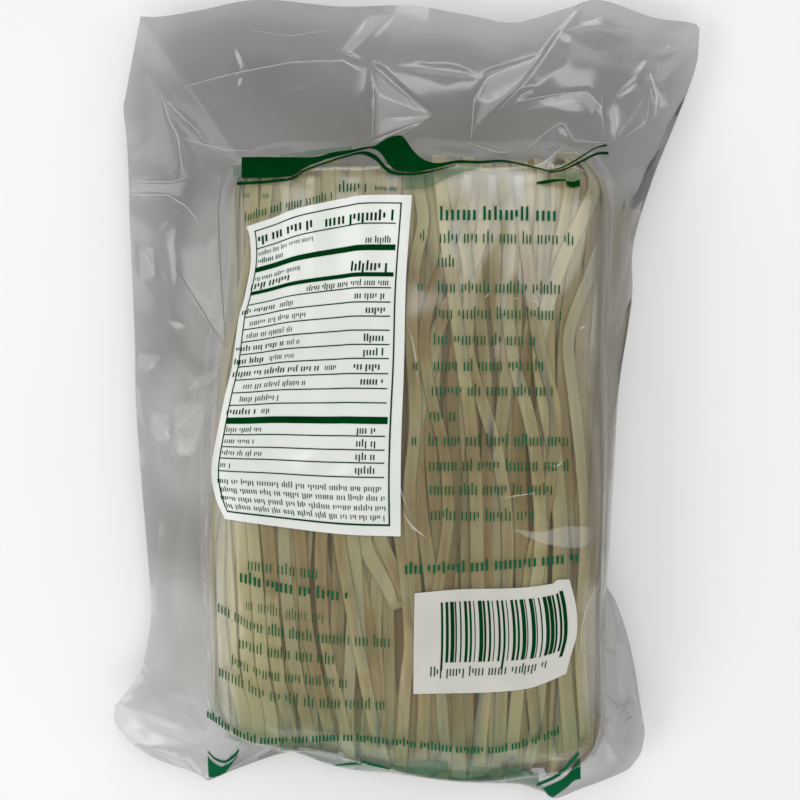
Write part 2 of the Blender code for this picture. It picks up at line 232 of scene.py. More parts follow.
# Folds of the same kind that have no line on them.
FOLDS = [
    ([(172, 206), (163, 232), (165, 262), (175, 300)], 0.0014, 14, 10, 0.4),
    ([(134, 240), (147, 262), (158, 292)], 0.0014, 6, 16, 0.5),
    ([(160, 306), (176, 324), (196, 332)], 0.0013, 6, 14, 0.5),
    ([(184, 364), (202, 384), (218, 410)], 0.0013, 6, 15, 0.5),
    ([(134, 344), (150, 358), (168, 372)], 0.0013, 6, 16, 0.5),
    ([(142, 392), (160, 420), (182, 446), (204, 456)], 0.0018, 7, 26, 0.6),
    ([(150, 470), (158, 510), (156, 560), (150, 616)], 0.0008, 18, 12, 0.3),
    ([(208, 746), (180, 734), (150, 716), (116, 704)], 0.001, 12, 18, 0.6),
    ([(208, 748), (175, 746), (145, 746), (112, 736)], 0.0009, 10, 14, 0.6),
    ([(210, 742), (190, 715), (165, 690), (134, 668)], 0.0008, 12, 16, 0.6),
    ([(646, 798), (625, 762), (606, 735), (596, 714)], 0.0012, 16, 8, 0.3),
    ([(656, 734), (630, 715), (612, 700), (597, 686)], 0.001, 14, 8, 0.3),
    ([(610, 592), (622, 640), (630, 690), (646, 748)], 0.0011, 16, 8, 0.5),
    ([(636, 182), (627, 240), (622, 300), (619, 370)], 0.0012, 8, 14, 0.5),
    ([(627, 396), (618, 450), (612, 520), (605, 586)], 0.001, 8, 12, 0.5),
]
CREASE_STEP, CREASE_ROOM = 6.0, 0.003
# The painted highlight line on a crease: its width in pixels, in full on creases at least this high, and its
# growth.
CREASE_HIGHLIGHT, CREASE_HIGH, CREASE_GROWTH = 1.3, 0.0012, 0.3
# Painted glints on the tight film, where small sharp wrinkles catch the light: points in pixels of the photo
# plane, and width in pixels.
PAINTED_GLINTS = [
    ([(406, 322), (412, 338), (416, 360), (418, 385)], 1.8), ([(484, 299), (490, 292)], 2.0),
    ([(531, 300), (538, 304)], 2.0), ([(549, 463), (556, 468), (563, 461)], 3.2),
    ([(500, 499), (520, 495), (541, 493)], 1.6),
    ([(402, 512), (412, 527), (428, 539)], 3.0), ([(579, 330), (586, 325)], 2.4),
    ([(513, 300), (520, 296)], 1.4),
    ([(395, 470), (404, 500), (412, 520)], 1.2), ([(160, 703), (170, 712)], 2.4),
]
# Painted highlights where facets of the film catch the light, faint and strong: upper and lower edge, and
# then any left and right edge.
PAINTED_FAINT_HIGHLIGHTS = [
    ([(176, 244), (204, 238), (220, 225)], [(222, 338), (224, 340)],
     [(176, 244), (186, 290), (202, 317), (222, 338)], [(220, 225), (219, 254), (221, 292), (224, 340)]),
    ([(138, 246), (154, 246)], [(140, 286), (156, 276)]),
    ([(137, 352), (164, 355)], [(138, 368), (151, 371)]),
    ([(195, 377), (219, 368)], [(186, 391), (214, 383)]),
    ([(148, 415), (171, 411)], [(154, 441), (170, 444)]),
    ([(171, 406), (189, 399), (211, 402)], [(176, 456), (186, 459), (196, 453)]),
    ([(128, 183), (160, 184), (190, 180)], [(128, 193), (160, 193), (182, 199)]),
    ([(373, 66), (402, 92), (433, 115)], [(373, 139), (402, 129), (433, 116)]),
    ([(380, 119), (433, 115)], [(373, 138), (433, 116)]), ([(368, 14), (396, 11)], [(339, 51), (348, 57)]),
    ([(485, 75), (510, 64), (539, 55)], [(471, 134), (490, 114), (520, 87)]),
    ([(536, 166), (559, 149)], [(542, 172), (548, 171)]),
    ([(557, 94), (587, 91), (601, 106)], [(557, 103), (583, 104), (592, 118)]),
    ([(615, 640), (624, 640)], [(617, 700), (633, 700)]),
    ([(118, 705), (160, 715), (205, 740)], [(122, 725), (160, 735), (203, 748)]),
    ([(506, 528), (540, 531), (566, 525), (606, 528)], [(524, 536), (548, 545), (580, 549), (594, 538)]),
]
PAINTED_BRIGHT_HIGHLIGHTS = [
    ([(171, 224), (179, 226)], [(172, 288), (177, 286)], [(171, 224), (166, 238), (169, 262), (172, 288)],
     [(179, 226), (175, 240), (177, 262), (177, 286)]),
    ([(167, 320), (182, 322)], [(175, 330), (187, 328)]),
    ([(176, 440), (197, 438)], [(178, 457), (195, 454)]),
    ([(607, 108), (619, 100)], [(611, 137), (622, 128)]),
    ([(650, 79), (653, 79)], [(659, 111), (674, 108)]),
    ([(603, 744), (609, 742)], [(606, 765), (621, 762)]),
    ([(150, 750), (185, 758)], [(160, 755), (203, 781)]),
]
# How strong a painted highlight is, and how far in it fades from its sides, its top and its foot, in shares
# of it.
HIGHLIGHT_FADE = (1.4, 0.12, 0.12, 0.12)
# Painted sheens and highlights on the tight film, broad and then narrow ones: their fading, and then their
# edges.
PAINTED_SHEENS = [
    ((2.8, 0.35, 0.08, 1.0), [(436, 171), (500, 166), (556, 173)], [(446, 232), (500, 242), (548, 226)]),
    ((0.9, 0.45, 0.1, 0.5), [(588, 192), (616, 188)], [(558, 480), (606, 480)],
     [(588, 192), (574, 250), (562, 310), (558, 390), (558, 480)],
     [(616, 188), (622, 270), (618, 380), (606, 480)]),
    ((0.4, 0.25, 0.1, 0.7), [(238, 180), (300, 178), (370, 172), (444, 172)],
     [(236, 250), (300, 232), (360, 216), (444, 236)]),
    ((1.2, 0.3, 0.1, 0.3), [(220, 184), (254, 182)], [(206, 540), (226, 540)],
     [(220, 184), (214, 300), (210, 400), (206, 540)],
     [(254, 182), (251, 262), (238, 330), (224, 420), (226, 540)]),
    ((1.5, 0.35, 0.25, 0.3), [(578, 566), (606, 566)], [(576, 742), (606, 736)]),
]
PAINTED_STREAKS = [
    ((2.4, 0.4, 0.05, 1.0), [(458, 168), (478, 167)], [(462, 216), (472, 218)]),
    ((2.7, 0.4, 0.05, 1.0), [(482, 166), (503, 167)], [(486, 226), (497, 228)]),
    ((2.4, 0.4, 0.05, 1.0), [(508, 168), (530, 170)], [(512, 216), (524, 216)]),
]
# Painted shade: a brownish see-through layer on the film right of the bundle, likewise.
PAINTED_SHADE_VEILS = [
    ((0.8, 0.2, 0.12, 0.15), [(592, 176), (641, 172)], [(584, 585), (610, 585)],
     [(592, 176), (594, 300), (590, 440), (584, 585)],
     [(641, 172), (638, 215), (631, 300), (618, 400), (610, 500), (609, 585)]),
]
# How far the strong patches are drawn in, so that one over a faint patch has a soft rim.
DRAWN_IN = 0.75

# -------- the noodles
NOODLE_SEED = 5
NOODLE_WIDTHS = (0.0034, 0.0048)
NOODLE_THICKNESS, THICKNESS_SHARES = 0.0008, (0.85, 1.15)
# The paleness of the noodles, as its mean and its spread.
NOODLE_TONE = (0.42, 0.13)
# A noodle's section, in shares of its width and thickness: thin in the middle, with raised edges.
SECTION = [(-0.5, 0.25), (-0.37, 0.5), (0.0, 0.34), (0.37, 0.5), (0.5, 0.25)]
# The paler raised edges are a painted highlight; the middle is a little darker.
# How much paler each point of that section is, above and then below.
EDGE_HIGHLIGHT = [0.06, 0.03, -0.02, 0.03, 0.06] * 2
CORE_HALF_WIDTH, CORE_ROUND = 0.0602, 0.01
CORE_FOOT, CORE_HEAD = -0.1165, 0.0715
CORE_LOW, CORE_HIGH = 0.0048, 0.0374
# The bundle's inside is much darker than its noodles: partly the deeper colour of noodles under noodles,
# partly painted shade between them.
CORE_RISE, CORE_TONE_AND_SHADE = 0.0001, 0.12
CORE_CELLS, CORNER_STEPS = (120, 90), 24
PLAN_RADIUS = 0.007
# The noodles fan to the right on their way to the foot: by how much, below where and left of where. At
# the bundle's sides, so far in, they can't move over.
FAN, FAN_FROM, FAN_DOWN = 0.003, -0.02, 0.085
FAN_LEFT, FAN_WIDTH, FAN_ROOM = 0.012, 0.05, 0.014
# Layers of noodles: how far apart the noodles are, how unevenly, how slanted, and how many the last lacks.
LAYERS, LAYER_PITCH, PITCH_UNEVEN = 2, 0.0037, 0.4
SLANT, SLANT_MORE, LAST_LEFT_OUT = 0.002, 0.0012, 0.45
# The least cosine, of the way round the bundle, that is on a face, and how far noodles go on round the
# bundle's ends, in shares of the bend, on its faces and on its sides.
FACE_COSINE, FACE_ENDS, SIDE_ENDS = 0.35, (1.15, 1.6), (0.3, 0.7)
# Waves of a noodle's course: the least and the most they move it, and the least and most radians a metre.
NOODLE_WAVES = ((0.0006, 0.0028, 18, 40), (0.0003, 0.0014, 55, 95))
# A noodle's roll about its own run, in radians, and in how many radians a metre it comes and goes.
ROLL, ROLL_PACE = (0.03, 0.2), (14, 50)
ANY_PHASE = (0, 6.3)
# How a noodle lies on the pile: the grid, the cells across it, how stiff it is, the least share it keeps
# of the height under it, how near it comes where it lies on others, and how much it adds.
GRID_STEP, STATION_STEP, LEAST_STATIONS = 0.0005, 0.003, 6
ROW_CELLS, FINER, EASING = 9, 7, 5
STIFFNESS, LEAST_HEIGHT, LIES_ON = 6.0, 0.8, 0.0007
PILE_SHARE, PILE_LIMIT = 0.6, 0.0036
# Uneven ends at the head, 1, and at the foot, -1: by how much, and from how far in.
RAGGED_ENDS = ((0.0008, 1), (-0.002, -1))
RAGGED_IN, RAGGED_REACH = 0.012, 0.02
# Noodles on top go on over the block's ends where they come this near to them, by this share of the bend.
NEAR_END, OVER_END = 0.006, 1.2
# How much paler the noodles are at the head, where the paleness is painted light, and along the left, and
# how far in from there, and how much where they lie closer on others than most do.
HEAD_PAINTED_LIGHT, LEFT_PALE = 0.7, 0.3
HEAD_REACH, LEFT_REACH = 0.027, 0.022
HEAD_SIDE = 0.018
CLOSE_PALE, CLOSE_MEAN = 0.3, 0.55
HELD_GAP = FILM_GAP * 0.6
# Noodles on top of the others: points in pixels of the photo plane, then width and paleness.
TOP_NOODLES = [
    ([(594, 184), (584, 212), (560, 268), (549, 300), (540, 345), (545, 400), (556, 460), (561, 530),
      (560, 600), (566, 680), (572, 750)], 0.0046, 0.66),
    ([(601, 186), (602, 219), (590, 268), (577, 308), (569, 345), (575, 398), (581, 466), (584, 540),
      (580, 640), (584, 740)], 0.0038, 0.7),
    ([(600, 192), (613, 230), (618, 300), (612, 380), (600, 440), (596, 520), (600, 620), (598, 720)],
     0.004, 0.4),
    ([(487, 180), (484, 220), (471, 268), (442, 318), (428, 377), (418, 424), (420, 500), (432, 590),
      (440, 700), (446, 764)], 0.0042, 0.62),
    ([(452, 178), (462, 230), (470, 287), (467, 339), (472, 371), (486, 413), (500, 466), (508, 540),
      (504, 640), (500, 760)], 0.004, 0.66),
    ([(520, 178), (526, 240), (536, 325), (544, 365), (556, 420), (548, 500), (532, 560), (528, 640),
      (538, 740)], 0.0037, 0.55),
    ([(505, 178), (510, 240), (508, 300), (514, 360), (530, 420), (538, 480), (540, 560), (522, 660),
      (512, 766)], 0.0041, 0.74),
    ([(470, 176), (452, 240), (434, 290), (424, 340), (432, 400), (444, 450), (448, 520), (436, 600),
      (430, 700), (436, 764)], 0.0036, 0.5),
    ([(364, 500), (366, 545), (378, 572), (392, 598), (398, 611)], 0.0046, 0.85),
    ([(378, 500), (382, 540), (392, 565), (402, 592), (404, 604)], 0.004, 0.62),
    ([(352, 500), (356, 560), (358, 620), (360, 678)], 0.0041, 0.74),
    ([(336, 480), (344, 560), (352, 620), (362, 686), (370, 728), (382, 768)], 0.004, 0.66),
    ([(228, 300), (226, 400), (227, 500), (229, 600), (230, 680), (234, 720), (240, 745)], 0.0042, 0.78),
    ([(240, 480), (243, 560), (243, 640), (244, 700), (252, 748)], 0.004, 0.72),
    ([(254, 480), (256, 560), (257, 640), (258, 700), (266, 752)], 0.0041, 0.66),
    ([(268, 480), (271, 560), (271, 640), (274, 705), (284, 758)], 0.0041, 0.6),
    ([(290, 480), (286, 560), (287, 640), (292, 700), (304, 762)], 0.004, 0.72),
    ([(300, 480), (303, 560), (304, 640), (312, 700), (326, 764)], 0.004, 0.56),
    ([(330, 480), (322, 570), (322, 650), (332, 710), (346, 766)], 0.0038, 0.62),
    ([(388, 400), (396, 500), (404, 560), (410, 640), (404, 700), (400, 770)], 0.004, 0.68),
    ([(440, 178), (448, 250), (458, 330), (470, 420), (476, 500), (478, 590), (486, 680), (482, 726),
      (478, 772)], 0.0042, 0.64),
    ([(234, 190), (236, 230), (230, 290), (222, 350), (220, 420), (224, 520), (222, 620), (226, 700)],
     0.0038, 0.72),
    ([(250, 186), (246, 240), (238, 300), (236, 380), (226, 460), (218, 540), (216, 640)], 0.004, 0.6),
    ([(418, 182), (424, 220), (416, 262), (412, 330), (416, 420), (410, 500), (416, 600), (424, 690),
      (420, 768)], 0.0039, 0.6),
]

# -------- the print
# Places of the print are pixels of the photo plane. A sheet is given by its four edges.
INK_PROUD, LABEL_PROUD, HIGHLIGHT_PROUD, TINT_PROUD = 0.00042, 0.00028, 0.00024, 0.0002
PRINT_PITCH, MARK_PITCH, EDGE_POINTS = 1.8, 3.0, 200
TABLE_LABEL = {
    "top": [(246.5, 226.5), (272, 218), (299, 208), (346, 198), (366, 195), (412, 195)],
    "right": [(412, 195), (406, 279), (404, 364), (401, 449), (400.5, 536.5)],
    "bottom": [(225, 519), (259, 524), (339, 534), (400.5, 536.5)],
    "left": [(246.5, 226.5), (250, 239), (250.5, 265), (244, 299), (238.5, 319), (232, 366), (225, 395),
     (218, 429), (212, 462), (212, 482), (217, 502), (225, 519)],
}
# The table's lines: width and height in pixels, how much heavier the foot and right ones are, and how far
# short of the frame the rules and bars end.
TABLE_FRAME = (0.034, 0.943, 0.022, 0.971)
RULE_WIDE, RULE_HIGH, FOOT_RULE, RIGHT_RULE = 1.1, 1.2, 1.6, 1.4
RULES_SHORT, BARS_SHORT = 0.03, 0.02
TABLE_RULES = [0.083, 0.2725, 0.3145, 0.356, 0.397, 0.439, 0.48, 0.5245, 0.568, 0.61, 0.708, 0.7485, 0.7865,
               0.8285]
TABLE_BARS = [(0.1455, 0.1625), (0.227, 0.2395), (0.651, 0.672)]
# Rows of marks in the table: left and right end, middle, height in pixels, and how bold.
TABLE_MARKS = [
    (0.05, 0.425, 0.052, 10.5, 0.34), (0.477, 0.915, 0.059, 11.0, 0.34),
    (0.05, 0.42, 0.1, 5.5, 0.2), (0.05, 0.225, 0.126, 6.0, 0.28), (0.735, 0.905, 0.13, 7.0, 0.28),
    (0.035, 0.35, 0.184, 5.5, 0.24), (0.03, 0.3, 0.207, 8.5, 0.32), (0.66, 0.89, 0.207, 10.0, 0.34),
    (0.4, 0.9, 0.256, 6.5, 0.26),
    (0.015, 0.23, 0.294, 6.5, 0.3), (0.25, 0.345, 0.294, 6.5, 0.2), (0.7, 0.89, 0.294, 7.0, 0.28),
    (0.075, 0.43, 0.336, 6.5, 0.2), (0.77, 0.89, 0.336, 7.5, 0.32),
    (0.065, 0.345, 0.377, 6.5, 0.2),
    (0.01, 0.3, 0.418, 6.5, 0.3), (0.315, 0.405, 0.418, 6.0, 0.2), (0.765, 0.885, 0.418, 7.5, 0.32),
    (0.01, 0.195, 0.46, 6.5, 0.32), (0.22, 0.37, 0.46, 6.0, 0.2), (0.765, 0.885, 0.46, 7.5, 0.32),
    (0.015, 0.535, 0.502, 7.0, 0.3), (0.55, 0.625, 0.502, 6.5, 0.2), (0.715, 0.89, 0.502, 7.5, 0.32),
    (0.095, 0.465, 0.546, 6.5, 0.22), (0.76, 0.89, 0.546, 7.5, 0.32),
    (0.09, 0.325, 0.589, 6.5, 0.22),
    (0.03, 0.205, 0.63, 7.0, 0.32), (0.225, 0.285, 0.63, 6.5, 0.22),
] + [
    row
    for b, end in ((0.69, 0.25), (0.728, 0.215), (0.767, 0.265), (0.807, 0.11))
    for row in ((0.035, end, b, 6.0, 0.22), (0.76, 0.88, b, 7.5, 0.26))
] + [
    (left, 0.925, b, 6.3, 0.22)
    for left, b in ((0.03, 0.86), (0.04, 0.888), (0.03, 0.917), (0.035, 0.944))
]
STRIPE_LABEL = {
    "top": [(414.6, 593.3), (460, 589.4), (516.6, 588), (550.6, 584), (557, 580), (569.5, 579.5)],
    "right": [(569.5, 579.5), (576, 606), (577, 633), (571, 655), (566.3, 673.7)],
    "bottom": [(413.3, 694), (486.5, 692.5), (525.7, 689), (545, 683), (566.3, 673.7)],
    "left": [(414.6, 593.3), (413.8, 640), (413.3, 694)],
}
# The stripes' field, their widths in shares of their pitch, the longer ones, and the marks under them.
STRIPES = (0.165, 0.945, 0.115, 0.7)
STRIPE_COUNT, STRIPE_WIDTHS = 27, [0.2, 0.3, 0.45, 0.6, 0.8]
LONG_STRIPES, LONGER = (0, 13, 26), 0.08
STRIPE_MARKS = (0.105, 0.845, 0.785, 10.0, 0.2)
# Lines of marks on the film: a line under them, their height in pixels, and how bold.
FILM_MARKS = [
    ([(440, 220), (500, 220), (559, 221)], 14.0, 0.3),
    ([(440, 243), (500, 243), (577, 245)], 12.5, 0.17), ([(420, 241), (428, 241)], 11.0, 0.17),
    ([(438, 267), (458, 267)], 12.5, 0.17),
    ([(438, 293), (500, 293), (566, 294)], 12.5, 0.17), ([(418, 291), (426, 291)], 11.0, 0.17),
    ([(435, 319), (500, 319), (565, 320)], 12.5, 0.17),
    ([(434, 345), (490, 345), (540, 346)], 12.5, 0.17),
    ([(434, 371), (490, 371), (549, 371)], 12.5, 0.17), ([(413, 370), (421, 370)], 11.0, 0.17),
    ([(432, 396), (500, 396), (556, 396)], 12.5, 0.17),
    ([(430, 421), (461, 421)], 12.5, 0.17),
    ([(429, 446), (500, 446), (574, 446)], 12.5, 0.17), ([(412, 445), (419, 445)], 11.0, 0.17),
    ([(429, 471), (500, 471), (573, 471)], 12.5, 0.17),
    ([(430, 495), (490, 495), (555, 495)], 12.5, 0.17),
    ([(431, 520), (490, 521), (537, 520)], 12.5, 0.17),
    ([(405, 574), (450, 573), (520, 568), (580, 562)], 12.0, 0.32),
    ([(248, 570), (285, 575), (323, 580)], 12.0, 0.16),
    ([(240, 582), (270, 590), (310, 597), (350, 602)], 12.5, 0.3),
    ([(246, 610), (285, 618), (326, 624)], 12.0, 0.1),
    ([(218, 612), (240, 624), (259, 633), (323, 643), (395, 648)], 12.0, 0.17),
    ([(239, 648), (270, 657), (337, 665)], 12.0, 0.17),
    ([(232, 665), (256, 676), (275, 681), (351, 689)], 11.0, 0.17),
    ([(219, 676), (245, 690), (267, 700), (320, 708), (388, 710)], 12.0, 0.17),
    ([(207, 717), (226, 730), (248, 741), (262, 744), (300, 743), (348, 741), (402, 746), (449, 752),
      (495, 753), (535, 744), (560, 734)], 8.5, 0.36),
    ([(245, 222), (265, 215), (290, 209), (312, 204), (336, 198)], 9.5, 0.2),
    ([(339, 192), (355, 191), (370, 192)], 11.0, 0.22), ([(375, 190), (399, 191)], 5.0, 0.3),
]
# Fields of dark green, and then of paler green at the foot: an upper and a lower edge.
GREEN_FIELDS = [
    ([(241.6, 157), (267, 157), (313, 157), (332, 152.5), (352.6, 149.5), (365, 147), (374, 146)],
     [(241.6, 178), (267, 177.5), (292, 175.5), (304, 168), (327, 159), (352.6, 152.5), (366, 149),
      (374, 147.5)]),
    ([(370, 147.4), (376, 145), (382, 141), (390, 137), (397, 135.4), (402, 136), (406, 140), (413, 150),
      (423, 159), (437, 163), (458, 160.2), (480, 160.8), (502, 159.8), (525, 164), (549, 170.4)],
     [(370, 148.2), (377, 150), (382, 154.5), (388, 163), (396, 169.5), (404, 171.2), (410, 171.8),
      (418, 171.4), (428, 169.5), (440, 167), (458, 163.2), (480, 163.6), (502, 162), (525, 165.8),
      (549, 172)]),
    ([(237, 182), (263, 180.5), (292, 177), (304, 169.6), (327, 161.2), (345, 155.5), (359, 151.8),
      (368, 151.6), (377, 156), (385, 165), (394, 171.4), (409, 173), (425, 171.4), (440, 168.4),
      (456, 164.4)],
     [(237, 185), (263, 183.5), (292, 179.5), (304, 171.6), (327, 163.2), (345, 157.5), (359, 154.2),
      (368, 156), (377, 161.5), (385, 170), (394, 174.6), (409, 175.4), (425, 173.6), (440, 169.8),
      (456, 165.2)]),
    ([(549, 170.4), (560, 167.4), (573, 161), (594, 148), (606.6, 144)],
     [(549, 171.8), (560, 168.8), (573, 162.6), (594, 149.4), (607, 146)]),
    ([(549, 171.8), (562, 169.2), (575, 163.4), (594, 153.6), (600, 151.8), (608, 151.6)],
     [(549, 173.4), (562, 171), (575, 165.4), (594, 156), (600, 154.4), (609, 154.8)]),
    ([(536, 182), (545, 180.2), (556, 179), (566, 179.6)],
     [(537, 183.8), (546, 183.6), (556, 181.4), (566, 181)]),
    ([(566, 180.6), (573, 181.6), (580, 179.6)], [(567, 185.6), (573, 187), (580, 186)]),
]
FOOT_FIELDS = [
    ([(207.6, 750.5), (215, 757.6), (225, 760.4), (233, 755), (238, 749.4)],
     [(207.6, 752.6), (215, 760), (225, 763), (235, 757), (239.6, 750.4)]),
    ([(207.6, 756), (213, 762), (222, 766.4), (231, 762), (237.5, 755.4)],
     [(208.4, 776), (213, 779), (221, 777.4), (229, 768), (238, 756)]),
    ([(536, 784), (557, 774), (571, 759.4), (578.6, 751)],
     [(537, 786.6), (558, 777), (573, 762.4), (579.4, 755)]),
    ([(543, 788), (563, 778.6), (574.6, 766), (580.4, 758)],
     [(551, 799), (566, 788), (574, 781), (580.8, 779)]),
    ([(336, 765), (352, 762.4), (366, 762), (378, 765), (390, 769)],
     [(336, 766), (352, 765), (366, 765), (378, 767.4), (390, 770)]),
]
# Fields of thin, see-through green: an upper and a lower edge.
GREEN_WASHES = [
    ([(279, 155), (305, 151), (330, 148), (352, 146)], [(279, 157), (305, 157), (330, 153), (352, 150)]),
    ([(232.7, 165), (241, 165)], [(233, 176), (241, 176)]),
    ([(236, 176), (241.5, 177)], [(236, 184), (241.5, 184)]),
    ([(242.2, 193.3), (249.9, 193.3)], [(242.2, 197.6), (249.9, 197.6)]),
    ([(262, 193.3), (269, 193.3)], [(262, 197.8), (269, 197.8)]),
    ([(554, 174), (566, 173), (580.6, 172)], [(556, 178), (568, 180), (580, 181)]),
    ([(404, 176), (425, 174), (440, 170), (458, 166), (480, 165)],
     [(404, 190), (425, 188), (440, 182), (458, 174), (480, 168)]),
    ([(407, 762), (428, 760), (448, 762)], [(407, 772), (428, 774), (448, 772)]),
    ([(472, 766), (500, 769), (539, 774)], [(472, 783), (500, 785), (539, 788)]),
    ([(506, 769), (520, 767), (539, 774)], [(506, 783), (520, 784), (539, 786)]),
    ([(280, 744), (330, 758), (400, 766), (470, 772)], [(280, 752), (330, 770), (400, 776), (470, 784)]),
]
# The green that shows through from the bag's other side at its foot: its fading, and then its edges.
GREEN_TINTS = [
    ((1.0, 0.02, 0.9, 0.02), [(208, 660), (240, 668), (300, 674), (380, 680), (460, 684), (530, 684),
      (598, 676)], [(207, 718), (240, 736), (262, 744), (330, 764), (400, 771), (480, 780), (592, 744)]),
]
# The front's print, in places on the ground: upper and lower edges, and how far inside the film it is.
FRONT_BANDS = [
    ([(-0.052, 0.066), (0.0, 0.069), (0.056, 0.066)], [(-0.053, 0.046), (0.0, 0.038), (0.058, 0.046)]),
    ([(-0.059, -0.084), (0.0, -0.078), (0.059, -0.084)],
     [(-0.055, -0.104), (0.0, -0.112), (0.056, -0.114)]),
    ([(-0.046, 0.028), (0.0, 0.031), (0.046, 0.028)], [(-0.046, -0.066), (0.0, -0.069), (0.046, -0.066)]),
]
FRONT_FIELD = [
    ([(-0.043, 0.025), (0.0, 0.028), (0.043, 0.025)], [(-0.043, -0.063), (0.0, -0.066), (0.043, -0.063)]),
]
FRONT_GREEN, FRONT_WHITE, UNDER_PITCH = 0.0003, 0.00016, 0.003
MARKS_SEED = 31
# The marks: the heights that each kind covers, in shares of the row's height, how thick their strokes are,
# the least room for one, the gaps between them, and how many make a group.
MARK_SPANS = [(0, 0.72)] * 5 + [(0, 1.0), (-0.22, 0.72), (0.25, 0.72)]
MARK_STROKE, LEAST_MARK = 0.62, 0.3
MARK_GAPS, GROUP_GAP = (0.15, 0.24), 0.34
FIRST_GROUP, LATER_GROUPS = (3, 8), (3, 9)


# ======== lines and rays
def ease(value):
    """From nothing to one, setting off and arriving softly."""
    value = np.clip(value, 0.0, 1.0)
    return value * value * (3 - 2 * value)


def bezier(a, b, c, d, s):
    return a * (1 - s) ** 3 + 3 * b * s * (1 - s) ** 2 + 3 * c * s * s * (1 - s) + d * s**3


def lengths(vectors):
    return np.linalg.norm(vectors, axis=-1)


def unit(vectors):
    """The same directions, each one long."""
    return vectors / lengths(vectors)[:, None]


def run_along(line):
    """How far along a line each of its points lies."""
    return np.concatenate([[0], np.cumsum(lengths(np.diff(line, axis=0)))])


def on_line(at, run, line):
    """Places on a line, by how far along it they lie."""
    return np.stack([np.interp(at, run, column) for column in np.transpose(line)], axis=-1)


def smooth_line(points, count=800):
    """Evenly spaced points on a smooth curve through the given ones, ends included."""
    knots = np.array(points, float)
    knots = np.vstack([2 * knots[0] - knots[1], knots, 2 * knots[-1] - knots[-2]])
    steps = np.linspace(0, 1, CURVE_STEPS, endpoint=False)[:, None]
    runs = []
    for a, b, c, d in zip(knots, knots[1:], knots[2:], knots[3:]):
        cubic = 2 * b + (c - a) * steps + (2 * a - 5 * b + 4 * c - d) * steps**2
        runs.append(0.5 * (cubic + (3 * b - a - 3 * c + d) * steps**3))
    line = np.vstack(runs + [knots[-2:-1]])
    run = run_along(line)
    return on_line(np.linspace(0, run[-1], count), run, line)


def hits(tree, rays):
    """Where rays, each a start and a way, meet a surface, and which of them do."""
    spots = [tree.ray_cast(Vector(start), Vector(way))[0] for start, way in rays]
    found = np.array([spot is not None for spot in spots])
    return np.array([(0.0, 0.0, 0.0) if spot is None else spot for spot in spots]), found


def on_plane(px, py, z):
    """The place at height z that the camera sees at a pixel of the photo plane."""
    far = (CAMERA_PLACE[2] - z) / FOCAL_PX
    half = FRAME_PX / 2
    return CAMERA_PLACE[0] + (px - half) * far, CAMERA_PLACE[1] + (half - py) * far


def seen_places(tree, pixels, proud):
    """The places on a film that the camera sees at pixels, raised a little towards it."""
    eye = Vector(CAMERA_PLACE)
    ways = [(Vector((*on_plane(px, py, 0.0), 0.0)) - eye).normalized() for px, py in pixels]
    places, seen = hits(tree, [(eye, way) for way in ways])
    return places - np.array(ways) * proud, seen


def places_below(tree, points, proud):
    """The places on a film over points of the ground, raised a little to its inner side."""
    places, found = hits(tree, [((x, y, -1.0), (0, 0, 1)) for x, y in points])
    return places + (0, 0, proud), found


# ======== the form of the bag
def ring_place(u, v):
    """The side, the share along that side and the share outwards of places on a square."""
    s = np.maximum(np.abs(u), np.abs(v))
    side = np.where(np.abs(v) >= np.abs(u), np.where(v < 0, 0, 2), np.where(u > 0, 1, 3))
    run = np.choose(side, [u, v, -u, -v]) / np.maximum(s, 1e-9)
    return side, (run + 1) / 2, s


def rim_at(side, f):
    """The rim's height at a share of the way along a side."""
    starts = np.concatenate([[0], np.cumsum(SIDE_STEPS)])
    knots = [knot for start, count in zip(starts, SIDE_STEPS) for knot in (start, start + count / 2)]
    at = starts[side] + f * np.array(SIDE_STEPS)[side]
    heights = np.interp(at, knots + [starts[-1]], RIM_HEIGHTS + RIM_HEIGHTS[:1])
    turn = at / starts[-1] * 2 * math.pi
    return heights + RIM_WAVE * np.sin(RIM_WAVES * turn) * np.cos(2 * turn + 1)


def bag_edges():
    """The bag's four edges round the origin, spread where the rim lies lower."""
    edges = []
    for k, points in enumerate((FOOT_EDGE, RIGHT_EDGE, HEAD_EDGE, LEFT_EDGE)):
        line = smooth_line(points)
        rim = rim_at(np.full(len(line), k), np.linspace(0, 1, len(line)))
        edges.append(line * ((SEEN_FROM - rim) / (SEEN_FROM - DRAWN_AT))[:, None])
    whole = np.vstack(edges)
    return [edge - (whole.min(axis=0) + whole.max(axis=0)) / 2 for edge in edges]


EDGES = bag_edges()


def foot_cut(x, y):
    """How far a place in the block's foot end is drawn back towards the middle."""
    up = ease((BLOCK_MIDDLE[1] - y) / FOOT_CUT_UP)
    return FOOT_CUT * ease((FOOT_CUT_FROM - x) / FOOT_CUT_WIDTH) * up


def head_taper(x, y):
    """How far a place in the block's left half is drawn in on its way to the head."""
    return HEAD_TAPER * ease(x / BLOCK_LEFT) * ease((y - TAPER_FROM) / TAPER_UP)


def crown_at(x, y):
    """How far the block's face is crowned over a place."""
    half_x, half_y = BLOCK_RIGHT - SHOULDER, (BLOCK_HEAD - BLOCK_FOOT) / 2 - SHOULDER
    across = np.clip(1 - (x / half_x) ** 2, 0, 1)
    along = np.clip(1 - ((y - BLOCK_MIDDLE[1]) / half_y) ** 2, 0, 1)
    return CROWN * across**CROWN_POWER * along**CROWN_POWER


def outline_at(side, f):
    """The place on the bag's outline at a share of the way along a side."""
    at = np.linspace(0, 1, len(EDGES[0]))
    found = np.zeros((len(f), 2))
    for k, edge in enumerate(EDGES):
        found[side == k] = on_line(f[side == k], at, edge)
    return found


